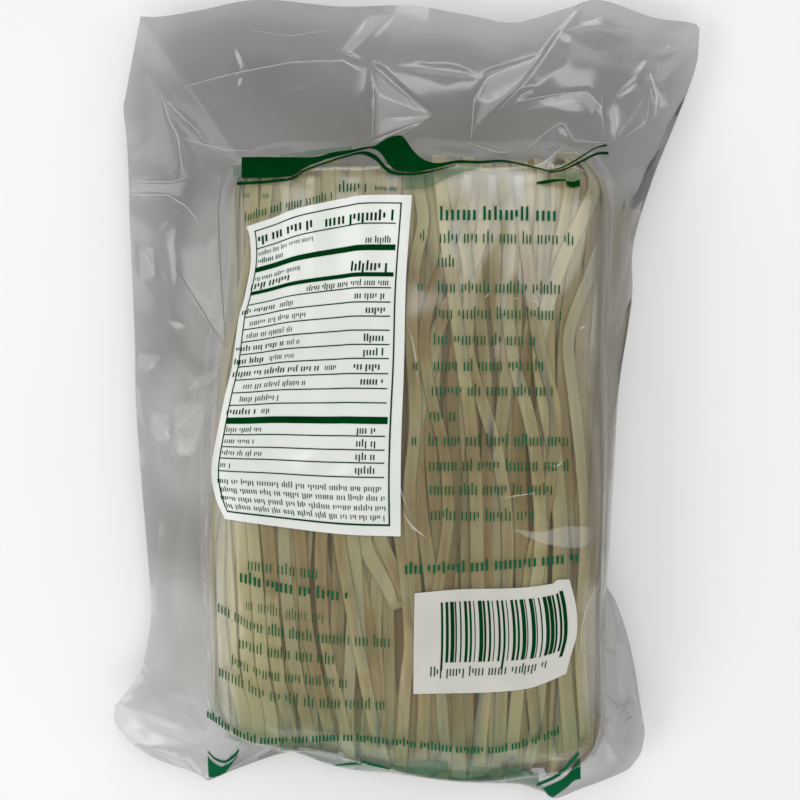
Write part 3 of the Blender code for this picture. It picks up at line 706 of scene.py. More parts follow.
def block_at(side, f, inset):
    """The place on the block's outline, some way inside it, at a share of the way along a side."""
    low = np.array([BLOCK_LEFT, BLOCK_FOOT]) + inset
    high = np.array([BLOCK_RIGHT, BLOCK_HEAD]) - inset
    radius = CORNER_RADIUS - inset * INSET_ROUNDING
    corners = np.array([low, (high[0], low[1]), high, (low[0], high[1])])
    sharp = corners[side] + (corners[(side + 1) % 4] - corners[side]) * f[:, None]
    middle = np.clip(sharp, low + radius, high - radius)
    away = sharp - middle
    plan = middle + away * radius / np.maximum(lengths(away), 1e-9)[:, None]
    plan[:, 0] += head_taper(plan[:, 0], plan[:, 1])
    plan[:, 1] += foot_cut(plan[:, 0], plan[:, 1])
    return plan


def sheet_form(face):
    """One film's smooth form on a square grid: places, and how much the film gives at each."""
    u, v = np.meshgrid(np.linspace(-1, 1, FILM_ACROSS + 1), np.linspace(-1, 1, FILM_ALONG + 1))
    side, f, s = ring_place(u.ravel(), v.ravel())
    inner, shoulder, outer = block_at(side, f, SHOULDER), block_at(side, f, 0.0), outline_at(side, f)
    rim = rim_at(side, f)
    share = np.clip(s / FACE_SHARE, 0, 1)
    out = np.clip((s - FACE_SHARE) / (1 - FACE_SHARE), 0, 1)
    slack = ease(lengths(outer - shoulder) / SNUG_WIDTH)

    def lift(plan, height):
        return np.column_stack([plan, np.broadcast_to(height, len(plan))])

    plane = BLOCK_MIDDLE + (inner - BLOCK_MIDDLE) * share[:, None]
    crown = CROWN * (1 - share**2) if face > 0 else 0.0
    snug = lift(outer, rim + (face - rim) * SNUG_RISE)
    loose = lift(shoulder + (outer - shoulder) * LOOSE_OUT, face + (rim - face) * LOOSE_DROP)
    slope = bezier(
        lift(inner, face),
        lift(inner + (shoulder - inner) * BROW, face),
        snug + (loose - snug) * slack[:, None],
        lift(outer, rim),
        out[:, None],
    )
    places = np.where((out > 0)[:, None], slope, lift(plane, face + crown))
    return places, slack * ease(GIVE_GROWTH * out)


# ======== the creases of the slack film
def beside(line, away):
    """A line along another one, on its right where away is positive, meeting it at both ends."""
    along = unit(np.gradient(line, axis=0))
    return line + np.column_stack([-along[:, 1], along[:, 0]]) * away[:, None]


def crease_ridge(points, highest):
    """Points along a crease, and how far it has grown at each: from its ends to where it is highest."""
    run = run_along(points)
    at = np.linspace(0, run[-1], max(3, round(run[-1] / CREASE_STEP)) + 1)
    return on_line(at, run, points), np.interp(at / run[-1], [0, highest, 1], [0, 1, 0])


def crease_lines(tree):
    """Every crease as three lines of points on the smooth film: its ridge, and its foot on either side."""
    lines = []
    for points, height, left, right, highest in CREASES + FOLDS:
        ridge, grown = crease_ridge(points, highest)
        for away, lift in ((0, height), (-left, 0), (right, 0)):
            places, seen = seen_places(tree, beside(ridge, away * grown), 0.0)
            lines.append(np.column_stack([places[:, :2], lift * grown])[seen])
    return [line for line in lines if len(line) > 1]


def net_tree(pitch, height, seed, lines):
    """A folded sheet: scattered points at uneven heights and the creases' lines, joined by flat facets."""
    draw = random.Random(seed)
    points, heights, edges = [], [], []
    for line in lines:
        edges += [(len(points) + k, len(points) + k + 1) for k in range(len(line) - 1)]
        points += [(x, y) for x, y, _ in line]
        heights += list(line[:, 2])
    taken = np.array(points).reshape(-1, 2)
    columns, rows = (int(2 * reach / step) + 1 for reach, step in zip(NET_REACH, pitch))
    for i, j in itertools.product(range(columns), range(rows)):
        x = -NET_REACH[0] + pitch[0] * (i + draw.uniform(-NET_UNEVEN, NET_UNEVEN))
        y = -NET_REACH[1] + pitch[1] * (j + draw.uniform(-NET_UNEVEN, NET_UNEVEN))
        z = height * draw.uniform(-1.0, 1.0) * (CALM + float(strongest(CRUMPLED, x, y)))
        if len(taken) and np.min(lengths(taken - (x, y))) < CREASE_ROOM:
            continue
        points.append((x, y))
        heights.append(z)
    flat, _, faces, origin, _, _ = delaunay_2d_cdt([Vector(p) for p in points], edges, [], 0, 1e-6)
    spots = np.array(points)
    lifted = []
    for place, own in zip(flat, origin):
        k = own[0] if own else int(np.argmin(lengths(spots - tuple(place))))
        lifted.append((place.x, place.y, heights[k]))
    return BVHTree.FromPolygons(lifted, faces)


def strongest(zones, x, y):
    """How strongly the zones act at places: the most that any of them gives there."""
    most = np.zeros(np.shape(x))
    for (mid_x, mid_y), (reach_x, reach_y), gain in zones:
        away = np.hypot((x - mid_x) / reach_x, (y - mid_y) / reach_y)
        most = np.maximum(most, gain * ease(2.0 - away))
    return most


def net_heights(tree, plan):
    """The heights of a folded sheet over places of the ground."""
    return hits(tree, (((x, y, 1.0), (0, 0, -1)) for x, y in plan))[0][:, 2]


# ======== meshes
def grid_faces(across, along):
    """Faces of a grid of points in rows, seen from above."""
    start = np.arange(across)[None, :] + (across + 1) * np.arange(along)[:, None]
    return np.stack([start, start + 1, start + across + 2, start + across + 1], axis=-1).reshape(-1, 4)


def mesh_piece(name, points, faces, material, slot, **layers):
    """A smooth mesh object from arrays, with values for its points; its faces have equally many corners."""
    mesh = bpy.data.meshes.new(name)
    faces = np.asarray(faces, np.int32)
    mesh.vertices.add(len(points))
    mesh.vertices.foreach_set("co", np.asarray(points, np.float32).ravel())
    mesh.loops.add(faces.size)
    mesh.loops.foreach_set("vertex_index", faces.ravel())
    mesh.polygons.add(len(faces))
    mesh.polygons.foreach_set("loop_start", np.arange(len(faces), dtype=np.int32) * faces.shape[1])
    mesh.polygons.foreach_set("use_smooth", np.ones(len(faces), bool))
    mesh.update(calc_edges=True)
    mesh.validate()
    mesh.materials.append(material)
    for layer, values in layers.items():
        data = mesh.attributes.new(layer, "FLOAT", "POINT").data
        data.foreach_set("value", np.asarray(values, np.float32))
    piece = linked(name, mesh)
    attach(piece, "root")
    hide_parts(NODE)


def linked(name, data, place=(0, 0, 0)):
    """A new object in the scene."""
    thing = bpy.data.objects.new(name, data)
    thing.location = place
    bpy.context.scene.collection.objects.link(thing)
    return thing


# ======== the noodles
class Core:
    """The bundle's rounded box, with places given by the way round it and the way along it."""

    def __init__(self):
        self.round = CORE_ROUND
        self.flat_x = CORE_HALF_WIDTH - CORE_ROUND
        self.mid_z = (CORE_LOW + CORE_HIGH) / 2
        self.flat_z = (CORE_HIGH - CORE_LOW) / 2 - CORE_ROUND
        self.mid_y = (CORE_FOOT + CORE_HEAD) / 2
        self.flat_y = (CORE_HEAD - CORE_FOOT) / 2 - CORE_ROUND
        self.bend = CORE_ROUND * math.pi / 2
        corners = [(1, 1, math.pi / 2), (1, -1, 0), (-1, -1, -math.pi / 2), (-1, 1, math.pi)]
        spots, ways = [(0.0, self.mid_z + self.flat_z)], [(0.0, 1.0)]
        for right, up, start in corners:
            for turn in start - np.linspace(0, math.pi / 2, CORNER_STEPS):
                spots.append((right * self.flat_x, self.mid_z + up * self.flat_z))
                ways.append((math.cos(turn), math.sin(turn)))
        self.spots, self.ways = np.array(spots + spots[:1]), np.array(ways + ways[:1])
        self.at = run_along(self.spots + self.ways * self.round)
        self.girth = self.at[-1]

    def place(self, p, q, height):
        """Point and outward way at p round the bundle, q along it and some height above it."""
        p = np.mod(p, self.girth)
        spot = on_line(p, self.at, self.spots)
        way = unit(on_line(p, self.at, self.ways))
        past = np.maximum(np.abs(q) - self.flat_y, 0)
        bend = np.minimum(past / self.round, math.pi / 2)
        reach = self.round + height
        out = reach * np.cos(bend) - np.maximum(past - self.bend, 0)
        end = np.sign(q)
        y = self.mid_y + end * (np.minimum(np.abs(q), self.flat_y) + reach * np.sin(bend))
        point = np.column_stack([spot[:, 0] + way[:, 0] * out, y, spot[:, 1] + way[:, 1] * out])
        normal = np.column_stack([way[:, 0] * np.cos(bend), end * np.sin(bend), way[:, 1] * np.cos(bend)])
        return point, normal


class Pile:
    """Heights of the noodles laid so far over the core, on a grid round and along it."""

    def __init__(self, core, reach):
        self.reach = reach
        self.heights = np.zeros((int(core.girth / GRID_STEP), int(2 * reach / GRID_STEP) + 1))

    def cells(self, p, q, width):
        """The cells under a noodle, in a row across it for each station."""
        across = np.linspace(-0.5, 0.5, ROW_CELLS) * width
        i = np.mod(((p[:, None] + across) / GRID_STEP).astype(int), self.heights.shape[0])
        j = ((q + self.reach) / GRID_STEP).astype(int)
        return i, np.repeat(np.clip(j, 0, self.heights.shape[1] - 1)[:, None], ROW_CELLS, axis=1)

    def lay(self, p, q, width, thickness):
        """Lays a noodle on the pile; gives its height at each station and how well it lies on others."""
        under = self.heights[self.cells(p, q, width)]
        top = under.max(axis=1)
        gap = q[:, None] - q[None, :]
        bridged = (top[None, :] - STIFFNESS * gap**2).max(axis=1)
        padded = np.pad(bridged, EASING // 2, mode="edge")
        eased = np.convolve(padded, np.ones(EASING) / EASING, mode="valid")
        height = np.maximum(eased, top * LEAST_HEIGHT)
        near = (height[:, None] - under < LIES_ON).mean(axis=1)
        fine = np.linspace(0, len(q) - 1, len(q) * FINER)
        fp, fq, fh = (np.interp(fine, range(len(q)), line) for line in (p, q, height))
        risen = np.minimum(fh + thickness * PILE_SHARE, PILE_LIMIT)
        cells = self.cells(fp, fq, width)
        self.heights[cells] = np.maximum(self.heights[cells], risen[:, None])
        return height, near


def scattered_ways(core, draw):
    """Ways of the noodles all round the bundle: places round it and along it, width and paleness."""
    count = int(core.girth / LAYER_PITCH)
    ways = []
    for layer in range(LAYERS):
        order = list(range(count))
        draw.shuffle(order)
        for k in order:
            p0 = (k + 0.5 * (layer % 2) + draw.uniform(-PITCH_UNEVEN, PITCH_UNEVEN)) * core.girth / count
            faces_up = abs(math.cos(2 * math.pi * p0 / core.girth)) > FACE_COSINE
            past = FACE_ENDS if faces_up else SIDE_ENDS
            foot, head = (core.flat_y + core.bend * draw.uniform(*past) for _ in range(2))
            q = np.linspace(-foot, head, int((foot + head) / STATION_STEP))
            p = p0 + draw.gauss(0, SLANT + SLANT_MORE * layer) * q / core.flat_y
            for least, most, slow, fast in NOODLE_WAVES:
                reach, pace = draw.uniform(least, most), draw.uniform(slow, fast)
                p = p + reach * np.sin(pace * q + draw.uniform(*ANY_PHASE))
            width, tone = draw.uniform(*NOODLE_WIDTHS), draw.gauss(*NOODLE_TONE)
            if layer < LAYERS - 1 or draw.random() >= LAST_LEFT_OUT:
                ways.append((p, q, width, tone))
    return ways


def unrolled(value, flat, radius):
    """How far round a rounded box places lie, by how far out from its middle they are seen."""
    beyond = np.maximum(np.abs(value) - flat, 0) / radius
    return np.sign(value) * (np.minimum(np.abs(value), flat) + radius * np.arcsin(np.minimum(beyond, 1)))


def placed_ways(core):
    """Ways of the noodles whose course shows on top."""
    ways = []
    for line, width, tone in TOP_NOODLES:
        line = smooth_line([on_plane(x, y, BLOCK_THICKNESS) for x, y in line], 400)
        p = unrolled(line[:, 0], core.flat_x, core.round)
        q = unrolled(line[:, 1] - core.mid_y, core.flat_y, core.round)
        over = core.flat_y + core.bend * OVER_END
        for k, end in ((0, over), (len(q), -over)):
            if abs(q[min(k, len(q) - 1)]) > core.flat_y - NEAR_END:
                p, q = np.insert(p, k, p[min(k, len(p) - 1)]), np.insert(q, k, end)
        at = np.linspace(q[0], q[-1], max(int(abs(q[-1] - q[0]) / STATION_STEP), LEAST_STATIONS))
        ways.append((np.interp(-at, -q, p), at, width, tone))
    return ways


def noodle_rings(core):
    """Every noodle as rings of points, with the tone of each ring."""
    draw = random.Random(NOODLE_SEED)
    ways = scattered_ways(core, draw) + placed_ways(core)
    pile = Pile(core, max(np.abs(q).max() for _, q, _, _ in ways) + GRID_STEP)
    section = np.array(SECTION + [(x, -z) for x, z in reversed(SECTION)])
    noodles = []
    for p, q, width, tone in ways:
        thickness = NOODLE_THICKNESS * draw.uniform(*THICKNESS_SHARES)
        height, near = pile.lay(p, q, width, thickness)
        place, normal = core.place(p, q, height + thickness / 2)
        place[:, 1] += sum(
            most * draw.uniform(-1, 1) * ease((end * q - core.flat_y + RAGGED_IN) / RAGGED_REACH)
            for most, end in RAGGED_ENDS
        )
        most, pace = draw.uniform(*ROLL), draw.uniform(*ROLL_PACE)
        roll = most * np.sin(pace * q + draw.uniform(*ANY_PHASE))[:, None]
        along = unit(np.gradient(place, axis=0))
        across = unit(np.cross(along, normal))
        tilted = across * np.cos(roll) + np.cross(across, along) * np.sin(roll)
        rings = place[:, None] + tilted[:, None] * (section[:, :1] * width)
        rings += np.cross(tilted, along)[:, None] * (section[:, 1:] * thickness)
        noodles.append((rings, tone + paler(core, place[:, 0], q) + CLOSE_PALE * (near - CLOSE_MEAN)))
    return noodles


def paler(core, x, q):
    """How much paler the bundle is at places, given across it and along it: painted light at its head, and
    paler along its left.
    """
    at_head = HEAD_PAINTED_LIGHT * ease((q - core.flat_y + HEAD_REACH) / HEAD_REACH)
    at_head *= ease((CORE_HALF_WIDTH - x) / HEAD_SIDE)
    return at_head + LEFT_PALE * ease(1 - (x + CORE_HALF_WIDTH) / LEFT_REACH)


def moulded(points, core):
    """Points of the bundle with its corners rounded in plan, its foot cut and fanned, its face crowned."""
    half = np.array([CORE_HALF_WIDTH, (CORE_HEAD - CORE_FOOT) / 2])
    spread = points[:, :2] - (0, core.mid_y)
    u, v = (np.maximum(np.abs(spread) - half + PLAN_RADIUS, 0) / PLAN_RADIUS).T
    from_u, from_v = np.minimum(u, 1) ** 2 / 2, np.minimum(v, 1) ** 2 / 2
    drawn_in = np.column_stack([u - u * np.sqrt(1 - from_v), v - v * np.sqrt(1 - from_u)])
    x, y = (points[:, :2] - np.sign(spread) * drawn_in * PLAN_RADIUS).T
    x = x + head_taper(x, y)
    fan = FAN * (ease((FAN_FROM - y) / FAN_DOWN) - 0.5) * ease((FAN_LEFT - x) / FAN_WIDTH)
    fanned = x + fan * ease((CORE_HALF_WIDTH - np.abs(x)) / FAN_ROOM)
    cut = y + foot_cut(x, y)
    high = np.clip((points[:, 2] - core.mid_z) / (CORE_HIGH - core.mid_z), 0, 1)
    return np.column_stack([fanned, cut, points[:, 2] + high * crown_at(fanned, cut)])


def noodle_faces(start, stations, sides):
    """Faces of one noodle: its sides, and its two ends as strips of quads."""
    row = start + sides * np.arange(stations - 1)[:, None]
    here, following = np.arange(sides), (np.arange(sides) + 1) % sides
    quads = np.stack([row + here, row + following, row + sides + following, row + sides + here], axis=-1)
    last = start + sides * (stations - 1)
    strip = np.array([(k, k + 1, sides - 2 - k, sides - 1 - k) for k in range(sides // 2 - 1)])
    return np.vstack([quads.reshape(-1, 4), start + strip[:, ::-1], last + strip])


def bundle(core):
    """Points, tones and faces of the upper and the lower noodles."""
    groups = {"noodles_upper": [], "noodles_lower": []}
    for rings, tone in noodle_rings(core):
        upper = rings[len(rings) // 2, :, 2].mean() > core.mid_z
        groups["noodles_upper" if upper else "noodles_lower"].append((rings, tone))
    pieces = {}
    for name, members in groups.items():
        points, faces, tones, start = [], [], [], 0
        for rings, tone in members:
            stations, sides = rings.shape[:2]
            points.append(rings.reshape(-1, 3))
            tones.append((tone[:, None] + np.array(EDGE_HIGHLIGHT)).ravel())
            faces.append(noodle_faces(start, stations, sides))
            start += stations * sides
        pieces[name] = moulded(np.vstack(points), core), np.concatenate(tones), np.vstack(faces)
    return pieces


def core_form(core):
    """The bundle's inside, which shows darker between the noodles, partly their deeper colour and partly
    painted shade: its points, tones and faces.
    """
    p = np.linspace(0, core.girth, CORE_CELLS[0] + 1)
    reach = core.flat_y + core.bend + core.flat_z
    pp, qq = np.meshgrid(p, np.linspace(-reach, reach, CORE_CELLS[1] + 1))
    points, _ = core.place(pp.ravel(), qq.ravel(), CORE_RISE)
    tones = CORE_TONE_AND_SHADE + paler(core, points[:, 0], qq.ravel())
    return moulded(points, core), tones, grid_faces(*CORE_CELLS)


def held_in(points, trees):
    """Points moved back inside the films where they would stand out of them."""
    points = points.copy()
    for k, point in enumerate(points):
        for tree in trees:
            spot, normal, _, _ = tree.find_nearest(Vector(point))
            if (Vector(point) - spot).dot(normal) > -HELD_GAP:
                points[k] = spot - normal * HELD_GAP
                point = points[k]
    return points


def build_noodles(pieces, trees):
    """The noodles as two pieces, and the bundle's inside, all held in by the films."""
    material = noodle_material()
    for name, (points, tones, faces) in pieces.items():
        mesh_piece(name, held_in(points, trees), faces, material, "rice_noodle", tone=tones)


# ======== the film
def neighbours(grid, **edges):
    """A grid's nine copies, each moved by up to a cell both ways."""
    padded = np.pad(grid, 1, **edges)
    wide, long = grid.shape
    return [padded[a:a + wide, b:b + long] for a in range(3) for b in range(3)]


def raised_by_noodles(places, tops):
    """The film's heights over the bundle's face: it rests on the highest noodles and spans between."""
    tops = tops[tops[:, 2] > FACE_FROM]
    index = ((tops[:, :2] - SPAN_LOW) / SPAN_STEP).astype(int)
    inside = np.all((index >= 0) & (index < SPAN_CELLS), axis=1)
    grid = np.zeros(SPAN_CELLS)
    np.maximum.at(grid, tuple(index[inside].T), tops[inside, 2])
    for _ in range(SPREAD_ROUNDS):
        grid = np.max(neighbours(grid, mode="edge"), axis=0)
    known = (grid > 0).astype(float)
    for _ in range(SMOOTH_ROUNDS):
        grid, known = np.mean(neighbours(grid), axis=0), np.mean(neighbours(known), axis=0)
    grid /= np.maximum(known, 1e-6)
    at = np.clip((places[:, :2] - SPAN_LOW) / SPAN_STEP - 0.5, 0, np.array(SPAN_CELLS) - SPAN_RIM)
    i, j = at.astype(int).T
    fx, fy = at.T - (i, j)
    near = grid[i, j] * (1 - fx) * (1 - fy) + grid[i + 1, j] * fx * (1 - fy)
    far = grid[i, j + 1] * (1 - fx) * fy + grid[i + 1, j + 1] * fx * fy
    return near + far + FILM_GAP


def film_forms(tops):
    """Places, haziness and faces of the upper and the lower film; they share the rim and its creases."""
    faces = grid_faces(FILM_ACROSS, FILM_ALONG)
    smooth = BVHTree.FromPolygons(sheet_form(BLOCK_THICKNESS - CROWN)[0].tolist(), faces.tolist())
    folds = net_tree(NET_PITCH, NET_HEIGHT, NET_SEED, crease_lines(smooth))
    fine = net_tree(FINE_PITCH, FINE_HEIGHT, FINE_SEED, [])
    forms = {}
    for name, face in (("film_upper", BLOCK_THICKNESS - CROWN), ("film_lower", 0.0)):
        places, give = sheet_form(face)
        lift = net_heights(folds, places[:, :2]) + net_heights(fine, places[:, :2])
        if face > 0:
            rest = raised_by_noodles(places, tops)
            inner = ease((places[:, 2] - FACE_FROM) / FACE_EASE)
            places[:, 2] += np.maximum(rest - places[:, 2], -FILM_SAG) * inner * (rest > RESTS_FROM)
        places[:, 2] = np.maximum(places[:, 2] + lift * give, 0.0)
        haze = CALM_HAZE + (1 - CALM_HAZE) * strongest(HAZY_AND_LIT, *places[:, :2].T)
        forms[name] = places, give * haze, faces if face > 0 else faces[:, ::-1]
    return forms


def build_film(forms):
    material = film_material()
    for name, (places, haze, faces) in forms.items():
        mesh_piece(name, places, faces, material, "clear_film", haze=haze)


def ribbon(ridge, half):
    """A field along a line, half of it on either side."""
    return np.stack([beside(ridge, -half), beside(ridge, half)])


def build_painted_film_light(tree):
    """Painted highlights on sharp creases and glints, painted shade along valleys, painted highlights and
    sheens, and brownish painted shade.
    """
    pale, dark = [], []
    # Painted highlight lines along raised creases, painted shade lines along sunken ones, then painted
    # glints.
    for points, height, _, _, highest in CREASES:
        ridge, grown = crease_ridge(points, highest)
        half = CREASE_HIGHLIGHT / 2 * min(abs(height) / CREASE_HIGH, 1.0) * grown**CREASE_GROWTH
        (pale if height > 0 else dark).append(ribbon(ridge, half))
    for points, width in PAINTED_GLINTS:
        ridge, grown = crease_ridge(points, 0.5)
        pale.append(ribbon(ridge, width / 2 * grown))
    printed("film_painted_crease_highlights", tree, pale, LABEL_PROUD, thin_material("painted_highlight_film"), "clear_film")
    printed("film_painted_valley_shade", tree, dark, LABEL_PROUD, thin_material("painted_shade_film"), "clear_film")
    # Painted highlights and painted sheens on the film, faint and strong.
    faint = [(HIGHLIGHT_FADE, *edges) for edges in PAINTED_FAINT_HIGHLIGHTS + PAINTED_BRIGHT_HIGHLIGHTS] + PAINTED_SHEENS
    bright = [(HIGHLIGHT_FADE, *edges) for edges in PAINTED_BRIGHT_HIGHLIGHTS] + PAINTED_STREAKS
    glint, shade_veil = thin_material("painted_glint_film", True), thin_material("painted_shade_veil", True)
    print_faded("film_painted_highlights", tree, faint, TINT_PROUD, glint, "clear_film")
    print_faded("film_painted_glints", tree, bright, HIGHLIGHT_PROUD, glint, "clear_film", DRAWN_IN)
    # A brownish layer of painted shade on the film right of the bundle.
    print_faded("film_painted_shade", tree, PAINTED_SHADE_VEILS, LABEL_PROUD, shade_veil, "clear_film")


# ======== the print
class Sheet:
    """A field of the photo plane inside four curved edges; places in it are shares across and down."""

    def __init__(self, top, bottom, left=None, right=None):
        edges = (top, bottom, left or [top[0], bottom[0]], right or [top[-1], bottom[-1]])
        self.top, self.bottom, self.left, self.right = (smooth_line(edge, EDGE_POINTS) for edge in edges)
        self.width = lengths(np.diff(self.top, axis=0)).sum()
        self.height = lengths(self.bottom - self.top).max()

    def at(self, a, b):
        shares = np.linspace(0, 1, EDGE_POINTS)
        a1, b1 = a[..., None], b[..., None]
        across = on_line(a, shares, self.top) * (1 - b1) + on_line(a, shares, self.bottom) * b1
        down = on_line(b, shares, self.left) * (1 - a1) + on_line(b, shares, self.right) * a1
        upper = self.top[0] * (1 - a1) + self.top[-1] * a1
        lower = self.bottom[0] * (1 - a1) + self.bottom[-1] * a1
        return across + down - upper * (1 - b1) - lower * b1

    def field(self, a0=0.0, a1=1.0, b0=0.0, b1=1.0, pitch=PRINT_PITCH):
        across = max(1, math.ceil((a1 - a0) * self.width / pitch))
        down = max(1, math.ceil((b1 - b0) * self.height / pitch))
        return self.at(*np.meshgrid(np.linspace(a0, a1, across + 1), np.linspace(b0, b1, down + 1)))


def fields_of(shapes, pitch=PRINT_PITCH):
    """The whole fields inside edges."""
    return [Sheet(*edges).field(pitch=pitch) for edges in shapes]


def marks(draw, sheet, a0, a1, b, size, bold):
    """A row of small upright ticks in groups, in place of print."""
    fields = []
    wide, high = size / sheet.width, size / sheet.height
    stroke = bold * MARK_STROKE
    foot = b + high / 2
    at, left_in_group = a0, draw.randint(*FIRST_GROUP)
    while at < a1 - LEAST_MARK * wide:
        low, top = draw.choice(MARK_SPANS)
        end = min(at + stroke * wide, a1)
        fields.append(sheet.field(at, end, foot - top * high, foot - low * high, MARK_PITCH))
        at += (stroke + draw.uniform(*MARK_GAPS)) * wide
        left_in_group -= 1
        if left_in_group == 0:
            at += GROUP_GAP * wide
            left_in_group = draw.randint(*LATER_GROUPS)
    return fields


def printed(name, tree, fields, proud, material, slot, find=seen_places, **layers):
    """A thin piece of print that follows the film, from fields of pixels of the photo plane or of places."""
    faces, start = [], 0
    for field in fields:
        faces.append(start + grid_faces(field.shape[1] - 1, field.shape[0] - 1)[:, ::-1])
        start += field.shape[0] * field.shape[1]
    places, seen = find(tree, np.vstack([field.reshape(-1, 2) for field in fields]), proud)
    faces = np.vstack(faces)
    faces = faces[seen[faces].all(axis=1)]
    used = np.unique(faces)
    renumber = np.zeros(len(places), int)
    renumber[used] = np.arange(len(used))
    layers = {layer: values[used] for layer, values in layers.items()}
    mesh_piece(name, places[used], renumber[faces], material, slot, **layers)


def faded(field, strength, side, top, foot):
    """How strongly a see-through field shows at its points: fully inside, fading towards its rims."""
    down, across = field.shape[:2]
    a, b = np.linspace(0, 1, across), np.linspace(0, 1, down)
    return strength * np.outer(ease(b / top) * ease((1 - b) / foot), ease(a / side) * ease((1 - a) / side))


def print_faded(name, tree, patches, proud, material, slot, share=1.0):
    """See-through patches with soft rims, given as fading and edges, and drawn in to a share of them."""
    fields = fields_of(edges for _, *edges in patches)
    fade = np.concatenate([faded(field, *patch[0]).ravel() for field, patch in zip(fields, patches)])
    middles = [field.reshape(-1, 2).mean(axis=0) for field in fields]
    fields = [middle + (field - middle) * share for field, middle in zip(fields, middles)]
    printed(name, tree, fields, proud, material, slot, fade=fade)


def table_fields(draw, sheet):
    """The table's frame, rules, bars and rows of marks."""
    left, right, top, foot = TABLE_FRAME
    line_a, line_b = RULE_WIDE / sheet.width, RULE_HIGH / sheet.height
    fields = [
        sheet.field(left, right, top, top + line_b),
        sheet.field(left, right, foot - line_b * FOOT_RULE, foot),
        sheet.field(left, left + line_a, top, foot),
        sheet.field(right - line_a * RIGHT_RULE, right, top, foot),
    ]
    fields += [sheet.field(left, right - RULES_SHORT, b - line_b / 2, b + line_b / 2) for b in TABLE_RULES]
    fields += [sheet.field(left, right - BARS_SHORT, b0, b1) for b0, b1 in TABLE_BARS]
    for a0, a1, b, size, bold in TABLE_MARKS:
        fields += marks(draw, sheet, a0, a1, b, size, bold)
    return fields


def stripe_fields(draw, sheet):
    """Plain upright stripes of uneven width over a row of small marks."""
    left, right, top, foot = STRIPES
    pitch = (right - left) / STRIPE_COUNT
    fields = []
    for k in range(STRIPE_COUNT):
        at, width = left + k * pitch, pitch * draw.choice(STRIPE_WIDTHS)
        fields.append(sheet.field(at, at + width, top, foot + (LONGER if k in LONG_STRIPES else 0.0)))
    return fields + marks(draw, sheet, *STRIPE_MARKS)


def build_print(tree, lower_tree):
    """The back's labels, table, marks and green fields, and plain print on the front, which it lies on."""
    draw = random.Random(MARKS_SEED)
    green, pale_green = (grained_material(name, *INK) for name in ("green_ink", "thin_green_ink"))
    white, thin_white = (grained_material(name, *LABEL) for name in ("white_ink", "thin_white_ink"))
    table, stripes = Sheet(**TABLE_LABEL), Sheet(**STRIPE_LABEL)
    table_print, stripe_print = table_fields(draw, table), stripe_fields(draw, stripes)
    lines = []
    for foot, size, bold in FILM_MARKS:
        sheet = Sheet([(x, y - size) for x, y in foot], foot)
        lines += marks(draw, sheet, 0.0, 1.0, 0.5, size, bold)
    for name, fields, proud, ink, slot in (
        ("label_table", [table.field()], LABEL_PROUD, white, "white_ink"),
        ("label_stripes", [stripes.field()], LABEL_PROUD, thin_white, "white_ink"),
        ("table_print", table_print, INK_PROUD, green, "green_ink"),
        ("stripe_print", stripe_print, INK_PROUD, green, "green_ink"),
        ("film_marks", lines, INK_PROUD, pale_green, "green_ink"),
        ("green_bands", fields_of(GREEN_FIELDS), INK_PROUD, green, "green_ink"),
        ("green_corners", fields_of(FOOT_FIELDS), INK_PROUD, pale_green, "green_ink"),
        ("green_washes", fields_of(GREEN_WASHES), LABEL_PROUD, thin_material("green_wash"), "green_ink"),
    ):
        printed(name, tree, fields, proud, ink, slot)
    print_faded("green_tints", tree, GREEN_TINTS, TINT_PROUD, thin_material("green_tint", True), "green_ink")
    for name, shapes, proud, ink, slot in (
        ("front_bands", FRONT_BANDS, FRONT_GREEN, green, "green_ink"),
        ("front_field", FRONT_FIELD, FRONT_WHITE, white, "white_ink"),
    ):
        printed(name, lower_tree, fields_of(shapes, UNDER_PITCH), proud, ink, slot, places_below)


# ======== materials
def new_material(name):
    material = bpy.data.materials.new(name)
    material.use_nodes = True
    return material, material.node_tree, material.node_tree.nodes["Principled BSDF"]


def feed(tree, node, inputs):
    """Sets a node's inputs, and links those that are given as another node's output."""
    for key, value in inputs.items():
        if isinstance(value, bpy.types.NodeSocket):
            tree.links.new(value, node.inputs[key])
        else:
            node.inputs[key].default_value = value


def added(tree, kind, inputs, output=0, **settings):
    """One output of a new node with these inputs and settings."""
    node = tree.nodes.new("ShaderNode" + kind)
    for name, value in settings.items():
        setattr(node, name, value)
    feed(tree, node, inputs)
    return node.outputs[output]


def mapped(tree, value, low, high, start=0.0):
    """A value that goes from one number to another as the given one goes from a start to one."""
    return added(tree, "MapRange", {"Value": value, "From Min": start, "To Min": low, "To Max": high})


def grain(tree, name, fineness, tone=None):
    """A material's colours, by a noise in object places and by any tone of the mesh's points."""
    place = added(tree, "TexCoord", {}, "Object")
    moved = added(tree, "Mapping", {"Vector": place, "Scale": fineness})
    share = added(tree, "TexNoise", {"Vector": moved, "Scale": 1.0, "Detail": 3.0})
    if tone:
        share = added(tree, "Math", {0: share, 1: NOODLE_STREAKS, 2: tone}, operation="MULTIPLY_ADD")
    colours = added(tree, "ValToRGB", {"Fac": share})
    elements = colours.node.color_ramp.elements
    while len(elements) < len(COLOURS[name]):
        elements.new(0.5)
    for element, (position, colour) in zip(elements, COLOURS[name]):
        element.position, element.color = position, (*colour, 1.0)
    return colours


def grained_material(name, fineness, look):
    """A material whose colours come from an even noise, with the rest of its looks."""
    material, tree, shader = new_material(name)
    feed(tree, shader, {"Base Color": grain(tree, name, fineness), **look})
    return material


def of_points(tree, name):
    """A value that the mesh's points have."""
    return added(tree, "Attribute", {}, "Fac", attribute_name=name)


def shown(tree, surface):
    """Makes this what a material shows."""
    feed(tree, tree.nodes["Material Output"], {"Surface": surface})


